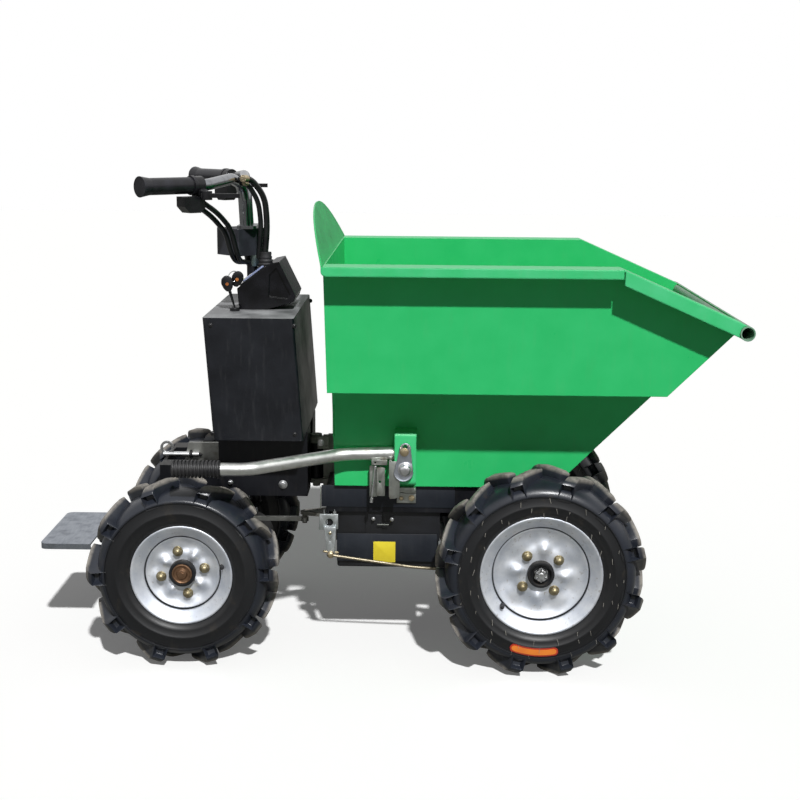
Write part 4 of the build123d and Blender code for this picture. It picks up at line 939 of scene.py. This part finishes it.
RIB = 7                     # pitch of the grip's rings
grip_low, grip_high = box_mm("tip_lever_grip")
grip_mid = (grip_low + grip_high) / 2
grip_r, grip_len = (grip_high.z - grip_low.z) / 2, grip_high.x - grip_low.x
outline = [(0, 0), (0, grip_r - 3), (1.5, grip_r - 1)]
for i in range(int(grip_len / RIB)):
    ring = [(1.5, 0.4), (2.2, 0), (4.6, 0), (5.3, 0.6), (5.5, 3), (8.2, 3)]
    outline += [(RIB * i + run, grip_r - drop) for run, drop in ring]
ribbed = revolve(outline + [(grip_len, grip_r - 3), (grip_len, 12.5)], 40)
grip_start = Vector((grip_low.x, grip_mid.y, grip_mid.z)) * MM
placed(ribbed, Matrix.Translation(grip_start) @ Matrix.Rotation(pi / 2, 4, "Y"))
lever_rubber = plain_finish("ribbed_black_rubber", "#19191B", "#2C2B2C", 0.5, grain=1.2, depth=0.08)
finish_piece(
    "ribbed_lever_grip", ribbed, lever_rubber, "tip_lever", "grip_rubber", ("tip_lever_grip",), sharp=50
)

strap_y = -212.5
pear = arc_points(58.5, 392.2, 19.3, 190, 350, 24) + arc_points(61.7, 437.5, 11.2, -10, 190, 20)
plate = pierced_plate(pear, 5, 0.9, [(61.4, 441.5, 4.6)])
face = [f for f in plate.faces if f.normal.y < -0.99 and f.calc_center_median().y < 0.5 * MM]
bmesh.ops.inset_region(plate, faces=face, thickness=2.2 * MM, depth=0, use_boundary=True)
bmesh.ops.translate(plate, verts=list({v for f in face for v in f.verts}), vec=(0, 0.9 * MM, 0))
placed(plate, Matrix.Translation((0, (strap_y - 8.5) * MM, 0)))
hook = [(30.5, 411.5), (30.5, 342), (32.5, 336.5), (42.5, 337), (51.5, 342.5), (51.5, 400), (47.5, 411.5)]
hook_plate = bmesh.new()
add_plate(hook_plate, strap_y - 3.4, hook, 3, 0.6)
add_plate(hook_plate, strap_y - 3, box_outline((30.5, 36.2), (404.5, 411.5)), 22)
finish_piece("lever_hook", hook_plate, dull_zinc, "tip_lever", "zinc_plate", sharp=40)
blue_zinc = plated_steel("blue_zinc_plate", "#BCC1CA", "#98A0AF", "#7C7C7C", rough=0.3)
finish_piece("lever_plates", plate, blue_zinc, "tip_lever", "zinc_plate", ("tip_lever_plate",), sharp=40)

boss = revolve([
    (0, 14.2), (1.6, 14.2), (2.4, 13.2), (2.4, 11.4), (9, 10.8), (11, 9.6), (12.4, 7), (13.1, 3.6), (13.3, 0),
], 40)
placed(boss, side_matrix(61.77, strap_y - 7.4, 397))
finish_piece("lever_pivot_boss", boss, bright_zinc, "tip_lever", "zinc_plate", sharp=50)
slot_bolt = placed(hex_bolt(13, 5.5, 8.6), side_matrix(59.9, strap_y - 7.6, 431.2))
finish_piece("lever_slot_bolt", slot_bolt, brass_bolt, "tip_lever", "zinc_plate", sharp=25)
saddle = bmesh.new()
add_plate(saddle, -204, box_outline((-4, 27), (400.5, 411.5)), 14, 1, [(3.5, 405.2, 1.8)])
finish_piece("lever_saddle", saddle, dull_zinc, "tip_lever", "zinc_plate", sharp=40)


# ==== Cabinet ====
# A folded steel cabinet over the rear frame, in satin black paint; the pale grey on its top is a painted
# sheen of the sky. Four blackened button screws hold each side.
# The pale grey given for what faces up is a painted sheen of the sky, not dust.
dress("cabinet", painted_steel(
    "satin_black_sheet", coat="#0D0F15", worn="#14171E", dust_and_sheen="#D0D1D3", gloss=0.28, dust_and_sheen_share=0.6,
    peel=0.04, edge=1.2, shine=0.5, streaky=0.05,
))
cab_low, cab_high = box_mm("cabinet")
screws = bmesh.new()
for x in (cab_low.x + 16, cab_high.x - 16):
    for side in (-1, 1):
        for z in (cab_high.z - 14, cab_low.z + 14):
            button = bmesh.new()
            bar_up(button, 24, 0, 0.8, 4.6)
            revolve([(0.8, 4), (1.8, 3.6), (2.6, 2.4), (2.7, 1.4), (1.5, 1.2), (1.5, 0)], 20, mesh=button)
            join_turned(screws, button, side_matrix(x, side * cab_high.y, z, side))
black_screw = plain_finish("blackened_screw", "#1B1B1D", "#303033", 0.34, share=0.6)
finish_piece("cabinet_screws", screws, black_screw, "rear_frame", "black_sheet", sharp=40)


# ==== Instrument pod ====
# A wedge-shaped moulded housing with a sloping display: a clear cover whose silvery blue is a painted
# reflection of the sky, a raised bezel round it and a small yellow-green charge lamp in its lower corner.
pod_black = plain_finish(
    "glossy_black_abs", "#0A0A0D", "#15151A", 0.22, grain=3, depth=0.02, soft_edge=2.5,
    Specular_IOR_Level=0.4,
)
dress("console_pod", pod_black)
pod_low, pod_high = box_mm("console_pod")
slope_rise = 50 / 66                       # rise of the display's slope towards the front
display = Matrix.Translation(Vector((pod_low.x + 33, 0, pod_low.z + 67)) * MM)
display = display @ Matrix.Rotation(-atan2(slope_rise, 1), 4, "Y")


def cushion(length, width, tall, shoulder, corner):
    """A rounded slab up Z with a sloped shoulder all round its top."""
    loop = [(-length, -width), (length, -width), (length, width), (-length, width)]
    mesh = slab([(x / 2, y / 2, 0) for x, y in loop], corner, (0, 0, tall))
    faces = [f for f in mesh.faces if f.normal.z > 0.9]
    for inset, drop in ((shoulder * 0.45, 0.30), (shoulder * 0.55, -0.10)):
        bmesh.ops.inset_region(mesh, faces=faces, thickness=inset * MM, depth=inset * drop * MM)
    return mesh


def on_display(mesh, x, y, z):
    """Lay a mesh on the display's slope."""
    return placed(mesh, display @ Matrix.Translation(Vector((x, y, z)) * MM))


bezel = on_display(cushion(70, 2 * pod_high.y - 8, 4, 5, 9), 0, 0, -2)
finish_piece("display_bezel", bezel, pod_black, "rear_frame", "pod_plastic", sharp=30)
# The cover's silvery blue is a painted reflection of the sky.
sky_painted_cover = plain_finish(
    "display_cover_painted_sky", "#8E9AC0", "#A9B2CC", 0.12, grain=20, depth=0.01, Coat_Weight=1.0,
)
cover = on_display(cushion(54, 2 * pod_high.y - 26, 4, 8, 7), 0, 0, 1.5)
finish_piece("display_cover", cover, sky_painted_cover, "rear_frame", "pod_plastic", sharp=30)
lamp_green = plain_finish("yellow_green_lamp_lens", "#A9B83C", "#8FA02F", 0.2, soft_edge=1)
lens = on_display(revolve([(0, 4), (1.5, 4), (2.6, 2.8), (3.0, 0)], 24), -22, -46, 4.5)
finish_piece("charge_lamp_lens", lens, lamp_green, "rear_frame", "pod_plastic", sharp=30)


# ==== Keys ====
# The lock's barrel, and two keys with shield-shaped black plastic heads, each with an orange dot on
# both sides. The spare hangs from the first by a wire ring.
key_black = plain_finish("black_key_plastic", "#0C0C0E", "#1B1B1F", 0.25, soft_edge=0.8)
orange_dot = plain_finish("orange_key_dot", "#B8713A", "#96562A", 0.4)
switch_low, switch_high = box_mm("key_switch")
lock_at = Vector((switch_high.x - 9.4, switch_low.y + 10, pod_low.z))
first_key, spare_key = lock_at + Vector((-14, 0, 53)), lock_at + Vector((4, 12, 61))
lock = revolve([(0, 10), (5.4, 10), (7, 8.6), (7, 6.4), (6.2, 6), (6.2, 0)], 36)
placed(lock, Matrix.Translation(lock_at * MM))
rod_between(lock, lock_at + Vector((0, 0, 5)), first_key - Vector((-4, 0, 13)), 1.6, 12, 3.2)
half = [(3, 16.5), (9.5, 12), (12, 3), (9, -8), (4, -15)]
shield = half + [(-x, z) for x, z in reversed(half)]
for head, lean in ((first_key, -12), (spare_key, 16)):
    blank = slab([(x, 0, z) for x, z in shield], 2.4, (0, -8, 0))
    soften(blank, crisp(blank, 1.2), 2)
    place = Matrix.Translation((head + Vector((0, 4, 0))) * MM) @ Matrix.Rotation(radians(lean), 4, "Y")
    join_turned(lock, blank, place)
finish_piece("lock_and_keys", lock, key_black, "rear_frame", "pod_plastic", ("key_switch",), sharp=40)
dots = bmesh.new()
for head in (first_key, spare_key):
    for side in (-1, 1):
        dot = revolve([(0, 3.4), (0.5, 3.2), (0.6, 1.9), (0.2, 1.6), (0.2, 0)], 20)
        join_turned(dots, dot, side_matrix(head.x, head.y + side * 3.95, head.z, side))
finish_piece("key_dots", dots, orange_dot, "rear_frame", "pod_plastic")
wire = bmesh.new()
across = (spare_key - first_key).normalized()
hub = (first_key + spare_key) / 2 + Vector((0, 0, 9))
turns = [radians(15 * i) for i in range(25)]
ring = [hub + (across * cos(turn) + Vector((0, 0, 1)) * sin(turn)) * 11 for turn in turns]
for start, end in zip(ring, ring[1:]):
    rod_between(wire, start, end, 0.9, 8)
finish_piece("key_ring", wire, bright_zinc, "rear_frame", "pod_plastic", sharp=60)


# ==== Hitch, step and drag link ====
# A grey zinc-plated bracket with a bright drop-nose pin and its black clip; the driver's platform of
# brushed plate; and the steering drag link.
def rolled_plate(name, bright, dull, worn, rough):
    """Hot-rolled plate, wire brushed along its length: scratches 1.5 mm apart, boot scuffs and grime."""
    material, tree, place = new_finish(name)
    stretched = add(tree, "Mapping", {0: place, 3: (1, 0.06, 1)}).outputs[0]
    brush = noise(tree, stretched, 1.5, 3)
    scuff = noise(tree, place, 28, 6, 0.65)
    colour = mix(tree, ramp(tree, brush, 0.35, 0.65), bright, dull)
    colour = mix(tree, ramp(tree, scuff, 0.5, 0.68, 0.0, 0.75), colour, worn)
    cloudy = ramp(tree, scuff, 0.35, 0.7, rough, rough + 0.25)
    close(tree, colour, cloudy, brush, 0.03, soft_edge=0.8, Metallic=1.0)
    return material


dress("step_plate", rolled_plate("brushed_step_plate", "#A3A8B0", "#8B919B", "#7C8087", 0.3))
hitch_zinc = plated_steel("grey_zinc_plate", "#A5A6A2", "#898A83", "#726D62", rough=0.4)
dress("tow_bracket", hitch_zinc)
dress("tow_pin", bright_zinc)
dress("drag_link", hitch_zinc)
pin_low, pin_high = box_mm("tow_pin")
pin_end = Vector((pin_high.x, (pin_low.y + pin_high.y) / 2, cab_low.z - 68))
clip = bmesh.new()
rod_between(clip, pin_end + Vector((-17, 0, -9)), pin_end + Vector((-17, 0, 9)), 2)
rod_between(clip, pin_end + Vector((-20, 0, 0)), pin_end + Vector((-13, 0, 0)), 6)
rod_between(clip, pin_end + Vector((-1, 0, 0)), pin_end + Vector((7, 0, 0)), 4.6, 16, 1.2)
finish_piece("hitch_clip", clip, black_iron, "rear_frame", "zinc_plate", sharp=40)


# ==== Steering column and handlebar ====
# A bent bar of chromed steel tube, clamped to the top of a black column with a green-passivated cone.
# The controls and their box are moulded in black plastic.
def chromed_tube(name):
    """Chrome over nickel: a mirror with a faint haze and a few water spots."""
    material, tree, place = new_finish(name)
    spots = noise(tree, place, 9, 4)
    colour = mix(tree, ramp(tree, spots, 0.5, 0.75), "#9C9EA2", "#85878B")
    close(tree, colour, ramp(tree, spots, 0.5, 0.8, 0.15, 0.26), Metallic=1.0)
    return material


dress("steering_column", painted_steel(
    "satin_black_column", coat="#121317", worn="#1E2025", dust_and_sheen="#5B5852", gloss=0.28, dust_and_sheen_share=0.2,
    peel=0.04,
))
dress("handlebar_tube", chromed_tube("chromed_steel_tube"))
dress("handlebar_grips", plain_finish("soft_grip_rubber", "#131317", "#222229", 0.33))
control_black = plain_finish("moulded_control_black", "#0C0C0F", "#17171B", 0.3, soft_edge=1.0)
dress("control_perches", control_black)
dress("junction_box", plain_finish("grey_black_moulding", "#2A2B31", "#3A3C44", 0.34, soft_edge=1.2))
dress("control_cables", plain_finish("pvc_cable_sheath", "#0F1012", "#1D211F", 0.3, share=0.8))

column_top = Vector((lock_at.x + 32, 0, box_mm("steering_column")[1].z))
cone = [(0, 11.2), (0, 12.6), (1, 13.2), (15, 17.4), (21, 18.2), (23, 18.2), (23.6, 17), (23.6, 11.2)]
clamp = placed(revolve(cone + cone[:1], 40), Matrix.Translation((column_top - Vector((0, 0, 77))) * MM))
collar_zinc = plated_steel("pale_green_zinc_collar", "#8FA09B", "#75847F", "#5F625C", rough=0.36)
finish_piece("column_clamp", clamp, collar_zinc, "handlebar", "zinc_plate", sharp=40)

# A ribbed rubber boot takes the loom and its cable down into the top of the instrument pod, and
# yellow-plated ferrules hold their upper ends at the bar.
boot_x, boot_y = (column_top.x + 25) * MM, -39 * MM
ribs = [(748, 0), (748, 15)]
for i in range(5):
    ribs += [(756 + 7 * i, 14 - i), (758 + 7 * i, 14.2 - i), (760.5 + 7 * i, 11.4 - i * 0.6)]
boot = revolve(ribs + [(793, 9.4), (796, 9.0), (796, 0)], 36)
placed(boot, Matrix.Translation((boot_x, boot_y, 0)) @ Matrix.Diagonal((1.3, 1, 1, 1)))
boot = finish_piece("loom_boot", boot, soft_rubber, None, "cable_sheath", sharp=40)
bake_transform(boot)
ferrules = bmesh.new()
for foot, run, r in (((-8.7, -98, 101.5), (16.7, 34, -1.5), 7.2), ((-9, -84, 92), (11, 24, -4), 4.4)):
    start, step = column_top + Vector(foot), Vector(run).normalized()
    rod_between(ferrules, start - step * 3, start + step * 9, r, 24)
    rod_between(ferrules, start + step * 9, start + step * 13, r, 24, r - 1.6)
finish_piece("loom_ferrules", ferrules, brass_bolt, "handlebar", "zinc_plate", sharp=30)
